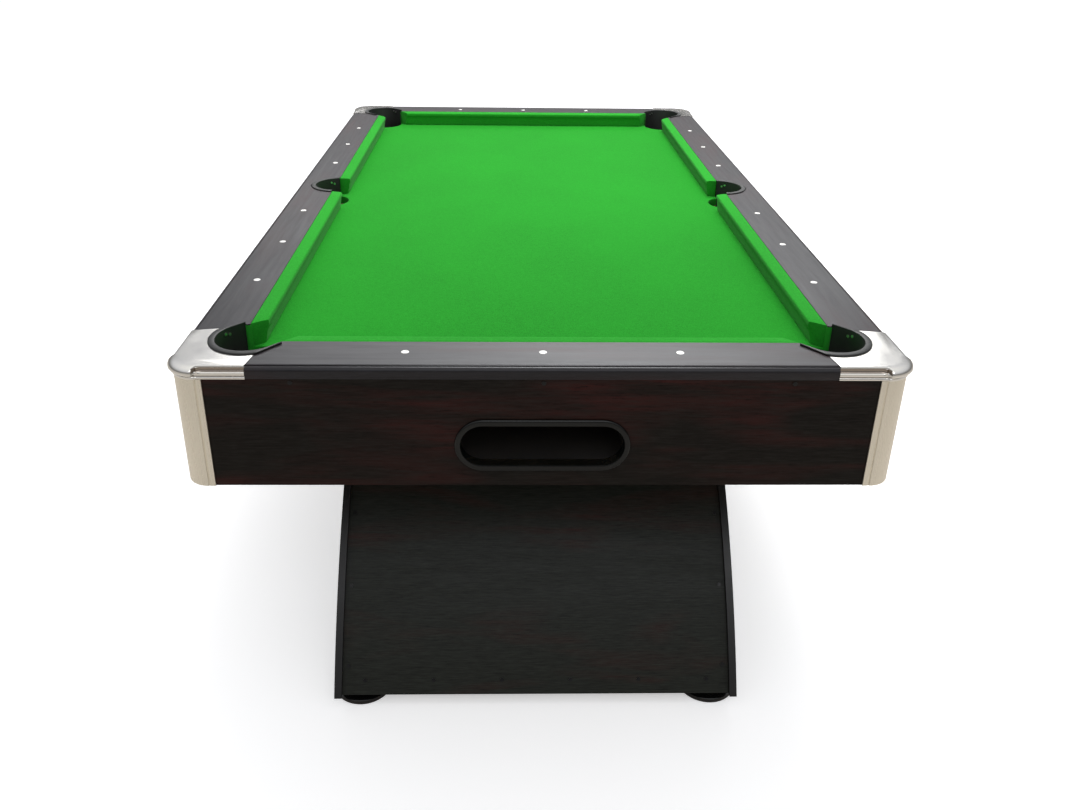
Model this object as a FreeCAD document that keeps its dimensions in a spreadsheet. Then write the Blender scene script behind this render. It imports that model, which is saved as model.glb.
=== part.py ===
"""Seven-foot pool table on two arched legs, as a parametric FreeCAD document.

Millimetres. X runs across the table, Y along it from the front end to the rear end, and Z up.
The origin is on the floor under the middle of the playing surface. Every size comes from the
Sizes sheet; outlines and placements are written as formulas of its cells.
"""
import FreeCAD, Part
import math
import os
import re
import Sketcher

from FreeCAD import Placement, Rotation, Vector

doc = FreeCAD.newDocument("pool_table")

SIZES = {
    # playing surface, measured between the cushion noses, and the rails around it
    "play_width": 1028,
    "play_length": 1998,
    "rail_top": 800,
    "rail_reach": 129.5,
    "rail_flat_reach": 118.5,
    "nosing_depth": 25,
    "nosing_bulge_drop": 10,
    "bead_drop": 2.4,
    "edge_round": 3.5,
    # cushions
    "cushion_depth": 28,
    "nose_drop": 8,
    "nose_height": 11,
    "cushion_toe": 7,
    "corner_nose_gap": 73,
    "corner_back_gap": 48,
    "side_nose_gap": 70,
    "side_back_gap": 66,
    "soft_gap": 0.3,
    # bed
    "bed_drop": 47,
    "bed_thick": 25,
    "bed_reach": 106,
    "cloth_thick": 1,
    # pockets
    "corner_pocket_offset": 14,
    "side_pocket_offset": 22.5,
    "pocket_radius": 60,
    "pocket_wall": 2.2,
    "pocket_hole": 62.5,
    "flange_width": 12.5,
    "flange_thick": 3,
    "horn_length": 28,
    "horn_width": 1.6,
    "horn_root": 25,
    "side_flange_back": 6,
    "pocket_depth": 76,
    "throat_radius": 51,
    "throat_offset": 46,
    # cabinet
    "apron_reach": 126,
    "apron_thick": 18,
    "apron_bottom": 240,
    "apron_end": 44,
    "block_size": 40,
    "beam_offset": 400,
    "beam_thick": 36,
    "cross_beam_reach": 930,
    "cross_beam_inner": 330,
    "cross_beam_thick": 20,
    # corner trim
    "post_reach": 129,
    "post_wall": 3,
    "post_flange": 58,
    "post_radius": 45,
    "cap_reach": 133,
    "cap_end_span": 137,
    "cap_side_span": 150,
    "cap_radius": 52,
    "cap_bulge": 5,
    "cap_proud": 1,
    # ball return
    "window_drop": 156,
    "window_width": 292,
    "window_height": 80,
    "bezel_wall": 3,
    "bezel_rim_width": 313,
    "bezel_rim_height": 105,
    "bezel_proud": 5,
    "runner_gauge": 84,
    "runner_wall": 3,
    "runner_depth": 48,
    "runner_offset": 536,
    "runner_rear_drop": 138,
    "runner_front_drop": 170,
    "front_runner_start_drop": 177,
    "front_runner_end_drop": 191,
    "front_runner_inset": 8,
    "tray_half_width": 150,
    "tray_depth": 150,
    "tray_drop": 198,
    # legs
    "arch_centre_depth": 583,
    "arch_outer": 1270,
    "arch_inner": 1150,
    "leg_half_width": 415,
    "leg_board_thick": 15,
    "leg_panel_inset": 9,
    "leg_panel_thick": 12,
    "leg_top_inner": 300,
    "leg_plate_thick": 18,
    "top_plate_inner": 332,
    "top_plate_outer": 500,
    "base_plate_half": 37,
    "leg_clearance": 30,
    # levelling feet
    "foot_x": 365,
    "foot_y": 1038,
    "foot_radius": 62.5,
    "foot_edge": 11,
    "foot_neck": 17,
    "stem_radius": 8,
    "stem_length": 80,
    "stem_socket": 8,
    "stem_gap": 0.05,
    "nut_radius": 14,
    # trim
    "sight_radius": 7,
    "sight_pitch": 242.5,
    "sight_offset": 70,
    "sight_proud": 0.6,
    "screw_radius": 4,
    "pocket_screw_radius": 2.8,
    "screw_proud": 1.2,
    "apron_screw_pitch": 435,
    "apron_screw_drop": 7,
    "panel_screw_pitch": 141.5,
    "panel_screw_low": 55,
    "panel_screw_side": 388,
}

sizes = doc.addObject("Spreadsheet::Sheet", "Sizes")
for row, (alias, value) in enumerate(SIZES.items(), start=1):
    sizes.set(f"A{row}", alias)
    sizes.set(f"B{row}", str(value))
    sizes.setAlias(f"B{row}", alias)
doc.recompute()

CORNERS = {
    "front_left": (-1, -1),
    "front_right": (1, -1),
    "rear_left": (-1, 1),
    "rear_right": (1, 1),
}
SIDES = {"left": -1, "right": 1}
ENDS = {"front": -1, "rear": 1}
PANEL_SCREW_HEIGHTS = (80, 211, 322, 450)

subparts = []


# ---------------------------------------------------------------- helpers

def linked(formula):
    """The formula with each size's alias written as a reference to its cell."""
    text = str(formula)
    return re.sub(r"[a-z_]+", lambda word: f"Sizes.{word[0]}" if word[0] in SIZES else word[0], text)


def number(formula):
    """The present value of a formula of sizes."""
    return float(sizes.evalExpression(linked(formula)))


def bind(item, **formulas):
    """Binds properties of an object; a double underscore stands for the dot of a sub-property."""
    for name, formula in formulas.items():
        item.setExpression(name.replace("__", "."), linked(formula))


def place(item, x="0", y="0", z="0", rotation=None):
    """Puts an object at a point given by three formulas."""
    if rotation is not None:
        item.Placement = Placement(Vector(0, 0, 0), rotation)
    bind(item, Placement__Base__x=x, Placement__Base__y=y, Placement__Base__z=z)


def subpart(item, label):
    """Marks a finished object as one sub-part, under its own label."""
    item.Label = label
    subparts.append(item)
    return item


def box(name, low, high):
    """A box between two corners, each a tuple of three formulas."""
    item = doc.addObject("Part::Box", name)
    spans = [f"({b}) - ({a})" for a, b in zip(low, high)]
    bind(item, Length=spans[0], Width=spans[1], Height=spans[2])
    place(item, *low)
    return item


def cylinder(name, radius, low, height, rotation=None):
    """A cylinder standing on the point low, or turned about it."""
    item = doc.addObject("Part::Cylinder", name)
    bind(item, Radius=radius, Height=height)
    place(item, *low, rotation=rotation)
    return item


def union(name, items):
    item = doc.addObject("Part::MultiFuse", name)
    item.Shapes = items
    return item


def cut(name, base, tool):
    item = doc.addObject("Part::Cut", name)
    item.Base = base
    item.Tool = tool
    return item


def group(name, items):
    """Separate solids that make up one node."""
    item = doc.addObject("Part::Compound", name)
    item.Links = items
    return item


def origin_plane(body, role):
    return next(plane for plane in body.Origin.OriginFeatures if plane.Role == role)


def new_sketch(body, name, role, height="0"):
    """A sketch on one of the body's own origin planes, lifted along the plane's normal."""
    sketch = body.newObject("Sketcher::SketchObject", name)
    sketch.AttachmentSupport = [(origin_plane(body, role), "")]
    sketch.MapMode = "FlatFace"
    bind(sketch, AttachmentOffset__Base__z=height)
    return sketch


def arc_geometry(start, end, axis, centre_value, turn):
    """An arc from start to end whose centre has the given x or y, turning ccw or cw."""
    middle = (start + end) * 0.5
    chord = end - start
    if axis == "x":
        shift = (centre_value - middle.x) * chord.x / chord.y
        centre = Vector(centre_value, middle.y - shift, 0)
    else:
        shift = (centre_value - middle.y) * chord.y / chord.x
        centre = Vector(middle.x - shift, centre_value, 0)
    first, last = (start, end) if turn == "ccw" else (end, start)
    angles = [math.atan2(point.y - centre.y, point.x - centre.x) for point in (first, last)]
    circle = Part.Circle(centre, Vector(0, 0, 1), (start - centre).Length)
    return Part.ArcOfCircle(circle, *angles)


def add_outline(sketch, outline):
    """Draws a closed outline and ties each corner to its formulas.

    An entry is (x, y) where a straight edge follows, or (x, y, (axis, formula, turn)) where an
    arc follows: axis and formula give one coordinate of its centre, and turn is ccw or cw.
    """
    points = [Vector(number(entry[0]), number(entry[1]), 0) for entry in outline]
    edges = []
    for index, entry in enumerate(outline):
        start = points[index]
        end = points[(index + 1) % len(points)]
        if len(entry) == 2:
            edge = sketch.addGeometry(Part.LineSegment(start, end))
            edges.append((edge, 1, 2))
        else:
            axis, formula, turn = entry[2]
            edge = sketch.addGeometry(arc_geometry(start, end, axis, number(formula), turn))
            edges.append((edge, 1, 2) if turn == "ccw" else (edge, 2, 1))
            tie_coordinate(sketch, axis, edge, 3, formula)
    for index, entry in enumerate(outline):
        edge, start_vertex, end_vertex = edges[index]
        following, next_start, next_end = edges[(index + 1) % len(edges)]
        join_vertices(sketch, edge, end_vertex, following, next_start)
        tie_coordinate(sketch, "x", edge, start_vertex, entry[0])
        tie_coordinate(sketch, "y", edge, start_vertex, entry[1])


def join_vertices(sketch, edge, vertex, other_edge, other_vertex):
    sketch.addConstraint(Sketcher.Constraint("Coincident", edge, vertex, other_edge, other_vertex))


def tie_coordinate(sketch, axis, edge, vertex, formula):
    """Holds one coordinate of a sketch vertex at a formula of sizes."""
    kind = "DistanceX" if axis == "x" else "DistanceY"
    index = sketch.addConstraint(Sketcher.Constraint(kind, -1, 1, edge, vertex, number(formula)))
    sketch.setExpression(f"Constraints[{index}]", linked(formula))


def add_circle(sketch, radius, x="0", y="0"):
    """Draws a circle and ties its centre and radius."""
    centre = Vector(number(x), number(y), 0)
    edge = sketch.addGeometry(Part.Circle(centre, Vector(0, 0, 1), number(radius)))
    tie_coordinate(sketch, "x", edge, 3, x)
    tie_coordinate(sketch, "y", edge, 3, y)
    index = sketch.addConstraint(Sketcher.Constraint("Radius", edge, number(radius)))
    sketch.setExpression(f"Constraints[{index}]", linked(radius))


def pad(body, sketch, length, symmetric=False, downward=False):
    feature = body.newObject("PartDesign::Pad", f"{sketch.Name}_pad")
    feature.Profile = sketch
    feature.SideType = "Symmetric" if symmetric else "One side"
    feature.Reversed = downward
    bind(feature, Length=length)
    return feature


def pocket_through(body, sketch):
    """Cuts a sketch right through the body, to both sides of the sketch."""
    feature = body.newObject("PartDesign::Pocket", f"{sketch.Name}_cut")
    feature.Profile = sketch
    feature.SideType = "Symmetric"
    feature.Type = "ThroughAll"
    return feature


def round_edges(body, feature, radius, wanted):
    """Fillets the edges of the feature for which wanted(edge) holds."""
    doc.recompute()
    names = [f"Edge{i}" for i, edge in enumerate(feature.Shape.Edges, start=1) if wanted(edge)]
    fillet = body.newObject("PartDesign::Fillet", f"{feature.Name}_round")
    fillet.Base = (feature, names)
    bind(fillet, Radius=radius)
    return fillet


def has_radius(edge, radius):
    return isinstance(edge.Curve, Part.Circle) and abs(edge.Curve.Radius - radius) < 0.01


def prism(name, role, outline, length, symmetric=False, height="0"):
    """A body padded from one closed outline."""
    body = doc.addObject("PartDesign::Body", name)
    sketch = new_sketch(body, f"{name}_outline", role, height)
    add_outline(sketch, outline)
    pad(body, sketch, length, symmetric)
    return body


def about_z(degrees):
    return Rotation(Vector(0, 0, 1), degrees)


# ---------------------------------------------------------------- pockets

def corner_pocket_centre(x_sign, y_sign):
    return (
        f"{x_sign} * (play_width / 2 + corner_pocket_offset)",
        f"{y_sign} * (play_length / 2 + corner_pocket_offset)",
    )


def side_pocket_centre(x_sign):
    return f"{x_sign} * (play_width / 2 + side_pocket_offset)", "0"


def inward_angle(x_sign, y_sign):
    """Direction from a corner pocket towards the middle of the table, in degrees."""
    return math.degrees(math.atan2(-y_sign, -x_sign))


def pocket_holes():
    """Upright cylinders at the six pockets; each side one has a narrower round throat in the bed."""
    tools = []
    for name, signs in CORNERS.items():
        low = (*corner_pocket_centre(*signs), "rail_top - 150")
        tools.append(cylinder(f"hole_{name}", "pocket_hole", low, "200"))
    for side, x_sign in SIDES.items():
        low = (*side_pocket_centre(x_sign), "rail_top - 150")
        whole = cylinder(f"hole_middle_{side}_whole", "pocket_hole", low, "200")
        wood_edge = "play_width / 2 + cushion_depth"
        x_span = (wood_edge, "play_width") if x_sign > 0 else ("-play_width", f"-({wood_edge})")
        near = (x_span[0], "-100", "rail_top - 150")
        under_rail = box(f"under_rail_{side}", near, (x_span[1], "100", "rail_top + 50"))
        seat = doc.addObject("Part::MultiCommon", f"hole_middle_{side}")
        seat.Shapes = [whole, under_rail]
        throat_low = (f"{x_sign} * (play_width / 2 + throat_offset)", "0", "rail_top - 150")
        tools += [seat, cylinder(f"throat_{side}", "throat_radius", throat_low, "200")]
    return union("pocket_holes", tools)


def pocket_mouths():
    """Blocks that open each corner hole towards the table, as wide as the hole."""
    tools = []
    for name, (x_sign, y_sign) in CORNERS.items():
        outline = [
            ("0", "-pocket_hole"),
            ("horn_length", "-pocket_hole"),
            ("horn_length", "pocket_hole"),
            ("0", "pocket_hole"),
        ]
        tool = prism(f"mouth_{name}", "XY_Plane", outline, "200", height="rail_top - 150")
        centre = corner_pocket_centre(x_sign, y_sign)
        place(tool, *centre, rotation=about_z(inward_angle(x_sign, y_sign)))
        tools.append(tool)
    return union("pocket_mouths", tools)


def corner_liner_outlines():
    """Flange and wall of a corner pocket liner; its mouth faces local +X, between two horns."""
    rim = "(pocket_radius + flange_width)"
    wall = "(pocket_radius + pocket_wall)"
    root_end = f"sqrt({rim}^2 - horn_root^2)"
    flange = [
        ("horn_length", "-(pocket_radius + horn_width)"),
        ("horn_length", "-pocket_radius"),
        ("0", "-pocket_radius", ("x", "0", "cw")),
        ("0", "pocket_radius"),
        ("horn_length", "pocket_radius"),
        ("horn_length", "pocket_radius + horn_width"),
        ("-horn_root", root_end, ("x", "0", "ccw")),
        ("-horn_root", f"-{root_end}"),
    ]
    sleeve = [
        ("horn_length", f"-{wall}"),
        ("horn_length", "-pocket_radius"),
        ("0", "-pocket_radius", ("x", "0", "cw")),
        ("0", "pocket_radius"),
        ("horn_length", "pocket_radius"),
        ("horn_length", wall),
        ("0", wall, ("x", "0", "ccw")),
        ("0", f"-{wall}"),
    ]
    return flange, sleeve


def side_liner_outlines():
    """Flange and wall of a side pocket liner, cut off square at the cushions."""
    back = "-side_flange_back"

    def ring(outer):
        outer_end = f"sqrt(({outer})^2 - side_flange_back^2)"
        inner_end = "sqrt(pocket_radius^2 - side_flange_back^2)"
        return [
            (back, f"-{outer_end}"),
            (back, f"-{inner_end}", ("x", "0", "cw")),
            (back, inner_end),
            (back, outer_end, ("x", "0", "ccw")),
        ]

    return ring("pocket_radius + flange_width"), ring("pocket_radius + pocket_wall")


def pocket_liner(label, outlines, seat, centre, angle):
    """A moulded liner: a flange lying at the height seat and a wall down through the bed."""
    flange_outline, wall_outline = outlines
    body = doc.addObject("PartDesign::Body", label)
    flange_sketch = new_sketch(body, f"{label}_flange", "XY_Plane", seat)
    add_outline(flange_sketch, flange_outline)
    flange = pad(body, flange_sketch, "flange_thick")
    top = number(f"{seat} + flange_thick")
    round_edges(body, flange, "flange_thick * 0.25", lambda edge: edge.BoundBox.ZMin > top - 0.01)
    wall_sketch = new_sketch(body, f"{label}_wall", "XY_Plane", "rail_top - pocket_depth")
    add_outline(wall_sketch, wall_outline)
    pad(body, wall_sketch, f"pocket_depth + {seat} - rail_top + flange_thick / 2")
    place(body, *centre, rotation=about_z(angle))
    subpart(body, label)


def all_pocket_liners():
    for name, (x_sign, y_sign) in CORNERS.items():
        centre = corner_pocket_centre(x_sign, y_sign)
        angle = inward_angle(x_sign, y_sign)
        pocket_liner(f"pocket_liner_{name}", corner_liner_outlines(), "rail_top + cap_proud", centre, angle)
    for name, x_sign in SIDES.items():
        angle = 0 if x_sign < 0 else 180
        centre = side_pocket_centre(x_sign)
        pocket_liner(f"pocket_liner_middle_{name}", side_liner_outlines(), "rail_top", centre, angle)


def pocket_screws():
    """Two screw heads in each side wall of every liner, just below its flange."""
    spots = [
        (f"{name}_{side + 1}_{index}", corner_pocket_centre(*signs), inward_angle(*signs) + side * turn, drop)
        for name, signs in CORNERS.items()
        for side in (-1, 1)
        for index, (turn, drop) in enumerate([(96, 10), (105, 7)])
    ]
    spots += [
        (f"{name}_{side + 1}_{index}", side_pocket_centre(x_sign), 90 + x_sign * 90 + side * turn, drop)
        for name, x_sign in SIDES.items()
        for side in (-1, 1)
        for index, (turn, drop) in enumerate([(109, 13), (117, 9)])
    ]
    heads = []
    reach = "sqrt(pocket_radius^2 - pocket_screw_radius^2)"
    for name, (x, y), turn, drop in spots:
        heading = math.radians(turn)
        low = (
            f"{x} + {reach} * {math.cos(heading):.6f}",
            f"{y} + {reach} * {math.sin(heading):.6f}",
            f"rail_top - {drop}",
        )
        towards_centre = Rotation(Vector(0, 0, 1), Vector(-math.cos(heading), -math.sin(heading), 0))
        heads.append(cylinder(f"pocket_screw_{name}", "pocket_screw_radius", low, "screw_proud", towards_centre))
    subpart(group("pocket_screws", heads), "pocket_screws")


# ---------------------------------------------------------------- bed and cloth

def bed_panel(holes, mouths):
    low = ("-(play_width / 2 + bed_reach)", "-(play_length / 2 + bed_reach)", "rail_top - bed_drop - bed_thick")
    high = ("play_width / 2 + bed_reach", "play_length / 2 + bed_reach", "rail_top - bed_drop")
    opened = cut("bed_opened", box("bed_blank", low, high), holes)
    subpart(cut("bed_panel", opened, mouths), "bed_panel")


def bed_cloth(holes, mouths):
    reach = "(cushion_depth - soft_gap)"
    low = (f"-(play_width / 2 + {reach})", f"-(play_length / 2 + {reach})", "rail_top - bed_drop")
    high = (f"play_width / 2 + {reach}", f"play_length / 2 + {reach}", "rail_top - bed_drop + cloth_thick")
    opened = cut("cloth_opened", box("cloth_blank", low, high), holes)
    subpart(cut("bed_cloth", opened, mouths), "bed_cloth")


# ---------------------------------------------------------------- rails and cushions

def rail_profile():
    """Section of a rail: y is measured from the cushion nose line, inwards positive."""
    return [
        ("-cushion_depth", "rail_top"),
        ("-rail_flat_reach", "rail_top"),
        ("-(rail_flat_reach + edge_round - 1)", "rail_top - 1"),
        ("-(rail_flat_reach + edge_round - 1)", "rail_top - bead_drop"),
        ("-(rail_flat_reach + edge_round)", "rail_top - bead_drop",
         ("y", "rail_top - nosing_bulge_drop", "ccw")),
        ("-rail_reach", "rail_top - nosing_bulge_drop", ("y", "rail_top - nosing_bulge_drop", "ccw")),
        ("-(rail_reach - 3)", "rail_top - nosing_depth"),
        ("-(apron_reach - apron_thick)", "rail_top - nosing_depth"),
        ("-(apron_reach - apron_thick)", "rail_top - bed_drop"),
        ("-cushion_depth", "rail_top - bed_drop"),
    ]


def rail(label, half_length, centre, angle, holes, mouths):
    blank = prism(f"{label}_blank", "YZ_Plane", rail_profile(), f"2 * ({half_length})", symmetric=True)
    place(blank, *centre, rotation=about_z(angle))
    opened = cut(f"{label}_opened", blank, holes)
    subpart(cut(label, opened, mouths), label)


def all_rails(holes, mouths):
    end_half = "play_width / 2 + cap_reach - cap_end_span"
    side_half = "play_length / 2 + cap_reach - cap_side_span"
    rail("rail_front", end_half, ("0", "-play_length / 2"), 0, holes, mouths)
    rail("rail_rear", end_half, ("0", "play_length / 2"), 180, holes, mouths)
    rail("rail_left", side_half, ("-play_width / 2", "0"), -90, holes, mouths)
    rail("rail_right", side_half, ("play_width / 2", "0"), 90, holes, mouths)


def cushion(label, nose_ends, back_ends, centre, angle):
    """A cushion with its nose along local X and its back against the rail, at negative local Y."""
    body = doc.addObject("PartDesign::Body", label)
    base = "rail_top - bed_drop + cloth_thick + soft_gap"
    back = "-(cushion_depth - soft_gap)"
    plan = [
        (nose_ends[0], "0"),
        (back_ends[0], back),
        (back_ends[1], back),
        (nose_ends[1], "0"),
    ]
    plan_sketch = new_sketch(body, f"{label}_plan", "XY_Plane", base)
    add_outline(plan_sketch, plan)
    pad(body, plan_sketch, f"rail_top - ({base})")
    nose_top = "rail_top - nose_drop + nose_height / 2"
    nose_low = "rail_top - nose_drop - nose_height / 2"
    slope_sketch = new_sketch(body, f"{label}_slope", "YZ_Plane")
    add_outline(slope_sketch, [
        (back, "rail_top"),
        ("0", nose_top),
        ("10", nose_top),
        ("10", "rail_top + 10"),
        (back, "rail_top + 10"),
    ])
    add_outline(slope_sketch, [
        ("0", nose_low),
        ("-cushion_toe", base),
        ("-cushion_toe", f"{base} - 10"),
        ("10", f"{base} - 10"),
        ("10", nose_low),
    ])
    pocket_through(body, slope_sketch)
    place(body, *centre, rotation=about_z(angle))
    subpart(body, label)


def all_cushions():
    end_nose = "(play_width / 2 - corner_nose_gap)"
    end_back = "(play_width / 2 - corner_back_gap)"
    end_spans = (f"-{end_nose}", end_nose), (f"-{end_back}", end_back)
    cushion("cushion_front", *end_spans, ("0", "-play_length / 2"), 0)
    cushion("cushion_rear", *end_spans, ("0", "play_length / 2"), 180)
    far_nose = "(play_length / 2 - corner_nose_gap)"
    far_back = "(play_length / 2 - corner_back_gap)"
    for side, x_sign in SIDES.items():
        angle = 90 * x_sign
        for end, y_sign in ENDS.items():
            along = x_sign * y_sign
            nose = (f"{along} * side_nose_gap", f"{along} * {far_nose}")
            back = (f"{along} * side_back_gap", f"{along} * {far_back}")
            centre = (f"{x_sign} * play_width / 2", "0")
            cushion(f"cushion_{side}_{end}", nose, back, centre, angle)


def sights():
    """Eighteen round sights: three in each end rail and six in each side rail."""
    places = []
    for step in (-1, 0, 1):
        for y_sign in (-1, 1):
            places.append((f"{step} * sight_pitch", f"{y_sign} * (play_length / 2 + sight_offset)"))
    for step in (-3, -2, -1, 1, 2, 3):
        for x_sign in (-1, 1):
            places.append((f"{x_sign} * (play_width / 2 + sight_offset)", f"{step} * sight_pitch"))
    discs = [
        cylinder(f"sight_{index}", "sight_radius", (x, y, "rail_top"), "sight_proud")
        for index, (x, y) in enumerate(places)
    ]
    subpart(group("sights", discs), "sights")


# ---------------------------------------------------------------- corner trim

def corner_cap(name, x_sign, y_sign, holes, mouths):
    """A cast cap over one corner: flat top, convex band, lower lip and a bulge round the corner."""
    label = f"corner_cap_{name}"
    body = doc.addObject("PartDesign::Body", f"{label}_casting")
    turn = "cw" if x_sign * y_sign > 0 else "ccw"

    def outline(inset):
        x_out = f"(play_width / 2 + cap_reach - {inset})"
        y_out = f"(play_length / 2 + cap_reach - {inset})"
        x_in = "(play_width / 2 + cap_reach - cap_end_span)"
        y_in = "(play_length / 2 + cap_reach - cap_side_span)"
        radius = f"(cap_radius - {inset})"
        return [
            (f"{x_sign} * {x_in}", f"{y_sign} * {y_in}"),
            (f"{x_sign} * {x_in}", f"{y_sign} * {y_out}"),
            (f"{x_sign} * ({x_out} - {radius})", f"{y_sign} * {y_out}",
             ("y", f"{y_sign} * ({y_out} - {radius})", turn)),
            (f"{x_sign} * {x_out}", f"{y_sign} * ({y_out} - {radius})"),
            (f"{x_sign} * {x_out}", f"{y_sign} * {y_in}"),
        ]

    band_sketch = new_sketch(body, f"{label}_band", "XY_Plane", "rail_top - nosing_depth + 4")
    add_outline(band_sketch, outline("0"))
    band = pad(body, band_sketch, "nosing_depth - 8")
    x_in = number("play_width / 2 + cap_reach - cap_end_span") + 1
    y_in = number("play_length / 2 + cap_reach - cap_side_span") + 1

    def outside_level(edge):
        box_ = edge.BoundBox
        level = box_.ZLength < 0.01
        beyond = abs(edge.CenterOfMass.x) > x_in and abs(edge.CenterOfMass.y) > y_in
        return level and beyond

    round_edges(body, band, "5", outside_level)
    bulge_radius = "(cap_radius + cap_bulge)"
    bulge_sketch = new_sketch(body, f"{label}_bulge", "XY_Plane", "rail_top - nosing_depth + 4")
    x_centre = f"{x_sign} * (play_width / 2 + cap_reach - cap_radius)"
    y_centre = f"{y_sign} * (play_length / 2 + cap_reach - cap_radius)"
    add_outline(bulge_sketch, [
        (x_centre, y_centre),
        (x_centre, f"{y_centre} + {y_sign} * {bulge_radius}", ("y", y_centre, turn)),
        (f"{x_centre} + {x_sign} * {bulge_radius}", y_centre),
    ])
    bulge = pad(body, bulge_sketch, "nosing_depth - 8")
    round_edges(body, bulge, "cap_bulge - 1", lambda edge: has_radius(edge, number(bulge_radius)))
    lip_sketch = new_sketch(body, f"{label}_lip", "XY_Plane", "rail_top - nosing_depth")
    add_outline(lip_sketch, outline("3"))
    pad(body, lip_sketch, "nosing_depth - 2")
    top_sketch = new_sketch(body, f"{label}_top", "XY_Plane", "rail_top - 3")
    add_outline(top_sketch, outline("5"))
    top = pad(body, top_sketch, "3 + cap_proud")
    body.Tip = top
    opened = cut(f"{label}_opened", body, holes)
    subpart(cut(label, opened, mouths), label)


def corner_post(name, x_sign, y_sign):
    """A bent aluminium corner cover with a crease where each flat flange meets the round."""
    label = f"corner_post_{name}"
    outline = [
        ("-post_flange", "0"),
        ("-(post_radius + 3)", "0"),
        ("-(post_radius + 1.5)", "-1.2"),
        ("-post_radius", "0", ("x", "-post_radius", "cw")),
        ("0", "-post_radius"),
        ("-1.2", "-(post_radius + 1.5)"),
        ("0", "-(post_radius + 3)"),
        ("0", "-post_flange"),
        ("-post_wall", "-post_flange"),
        ("-post_wall", "-post_radius", ("x", "-post_radius", "ccw")),
        ("-post_radius", "-post_wall"),
        ("-post_flange", "-post_wall"),
    ]
    body = prism(label, "XY_Plane", outline, "apron_bottom - nosing_depth")
    angle = {(1, 1): 0, (-1, 1): 90, (-1, -1): 180, (1, -1): 270}[(x_sign, y_sign)]
    place(
        body,
        f"{x_sign} * (play_width / 2 + post_reach)",
        f"{y_sign} * (play_length / 2 + post_reach)",
        "rail_top - apron_bottom",
        rotation=about_z(angle),
    )
    subpart(body, label)


def corner_blocks():
    """Upright wooden blocks inside the four cabinet corners, screwed to both aprons."""
    blocks = []
    x_out = "(play_width / 2 + apron_reach - apron_thick)"
    y_out = "(play_length / 2 + apron_reach - apron_thick)"
    for name, (x_sign, y_sign) in CORNERS.items():
        x_span = [f"{x_out} - block_size", x_out]
        y_span = [f"{y_out} - block_size", y_out]
        if x_sign < 0:
            x_span = [f"-({value})" for value in reversed(x_span)]
        if y_sign < 0:
            y_span = [f"-({value})" for value in reversed(y_span)]
        low = (x_span[0], y_span[0], "rail_top - apron_bottom")
        high = (x_span[1], y_span[1], "rail_top - bed_drop - bed_thick")
        blocks.append(box(f"corner_block_{name}", low, high))
    subpart(group("corner_blocks", blocks), "corner_blocks")


# ---------------------------------------------------------------- cabinet

def stadium(width, height):
    """An upright slot outline with round ends, centred on the sketch's origin."""
    flat = f"({width} - {height}) / 2"
    return [
        (f"-{flat}", f"-{height} / 2"),
        (flat, f"-{height} / 2", ("x", flat, "ccw")),
        (flat, f"{height} / 2"),
        (f"-{flat}", f"{height} / 2", ("x", f"-{flat}", "ccw")),
    ]


def aprons():
    bottom = "rail_top - apron_bottom"
    top = "rail_top - nosing_depth"
    x_face = "(play_width / 2 + apron_reach)"
    y_face = "(play_length / 2 + apron_reach)"
    x_end = f"({x_face} - apron_end)"
    y_end = f"({y_face} - apron_end)"
    front_low = (f"-{x_end}", f"-{y_face}", bottom)
    front_high = (x_end, f"-{y_face} + apron_thick", top)
    blank = box("apron_front_blank", front_low, front_high)
    slot = stadium("(window_width + 2 * bezel_wall)", "(window_height + 2 * bezel_wall)")
    window = prism("window_tool", "XZ_Plane", slot, "4 * apron_thick", symmetric=True)
    place(window, "0", f"-{y_face}", "rail_top - window_drop")
    subpart(cut("apron_front", blank, window), "apron_front")
    rear_low = (f"-{x_end}", f"{y_face} - apron_thick", bottom)
    subpart(box("apron_rear", rear_low, (x_end, y_face, top)), "apron_rear")
    subpart(box("apron_left", (f"-{x_face}", f"-{y_end}", bottom), (f"-{x_face} + apron_thick", y_end, top)),
            "apron_left")
    subpart(box("apron_right", (f"{x_face} - apron_thick", f"-{y_end}", bottom), (x_face, y_end, top)),
            "apron_right")


def return_bezel():
    """The moulded surround of the ball window: a rim on the apron and a sleeve through it."""
    body = doc.addObject("PartDesign::Body", "return_bezel")
    rim_sketch = new_sketch(body, "bezel_rim", "XZ_Plane")
    add_outline(rim_sketch, stadium("bezel_rim_width", "bezel_rim_height"))
    add_outline(rim_sketch, stadium("window_width", "window_height"))
    rim = pad(body, rim_sketch, "bezel_proud")
    front = number("bezel_proud")
    round_edges(body, rim, "bezel_proud * 0.45", lambda edge: edge.BoundBox.YMax < -front + 0.01)
    sleeve_sketch = new_sketch(body, "bezel_sleeve", "XZ_Plane")
    add_outline(sleeve_sketch, stadium("(window_width + 2 * bezel_wall)", "(window_height + 2 * bezel_wall)"))
    add_outline(sleeve_sketch, stadium("window_width", "window_height"))
    sleeve = pad(body, sleeve_sketch, "apron_thick", downward=True)
    body.Tip = sleeve
    place(body, "0", "-(play_length / 2 + apron_reach)", "rail_top - window_drop")
    subpart(body, "return_bezel")


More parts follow.
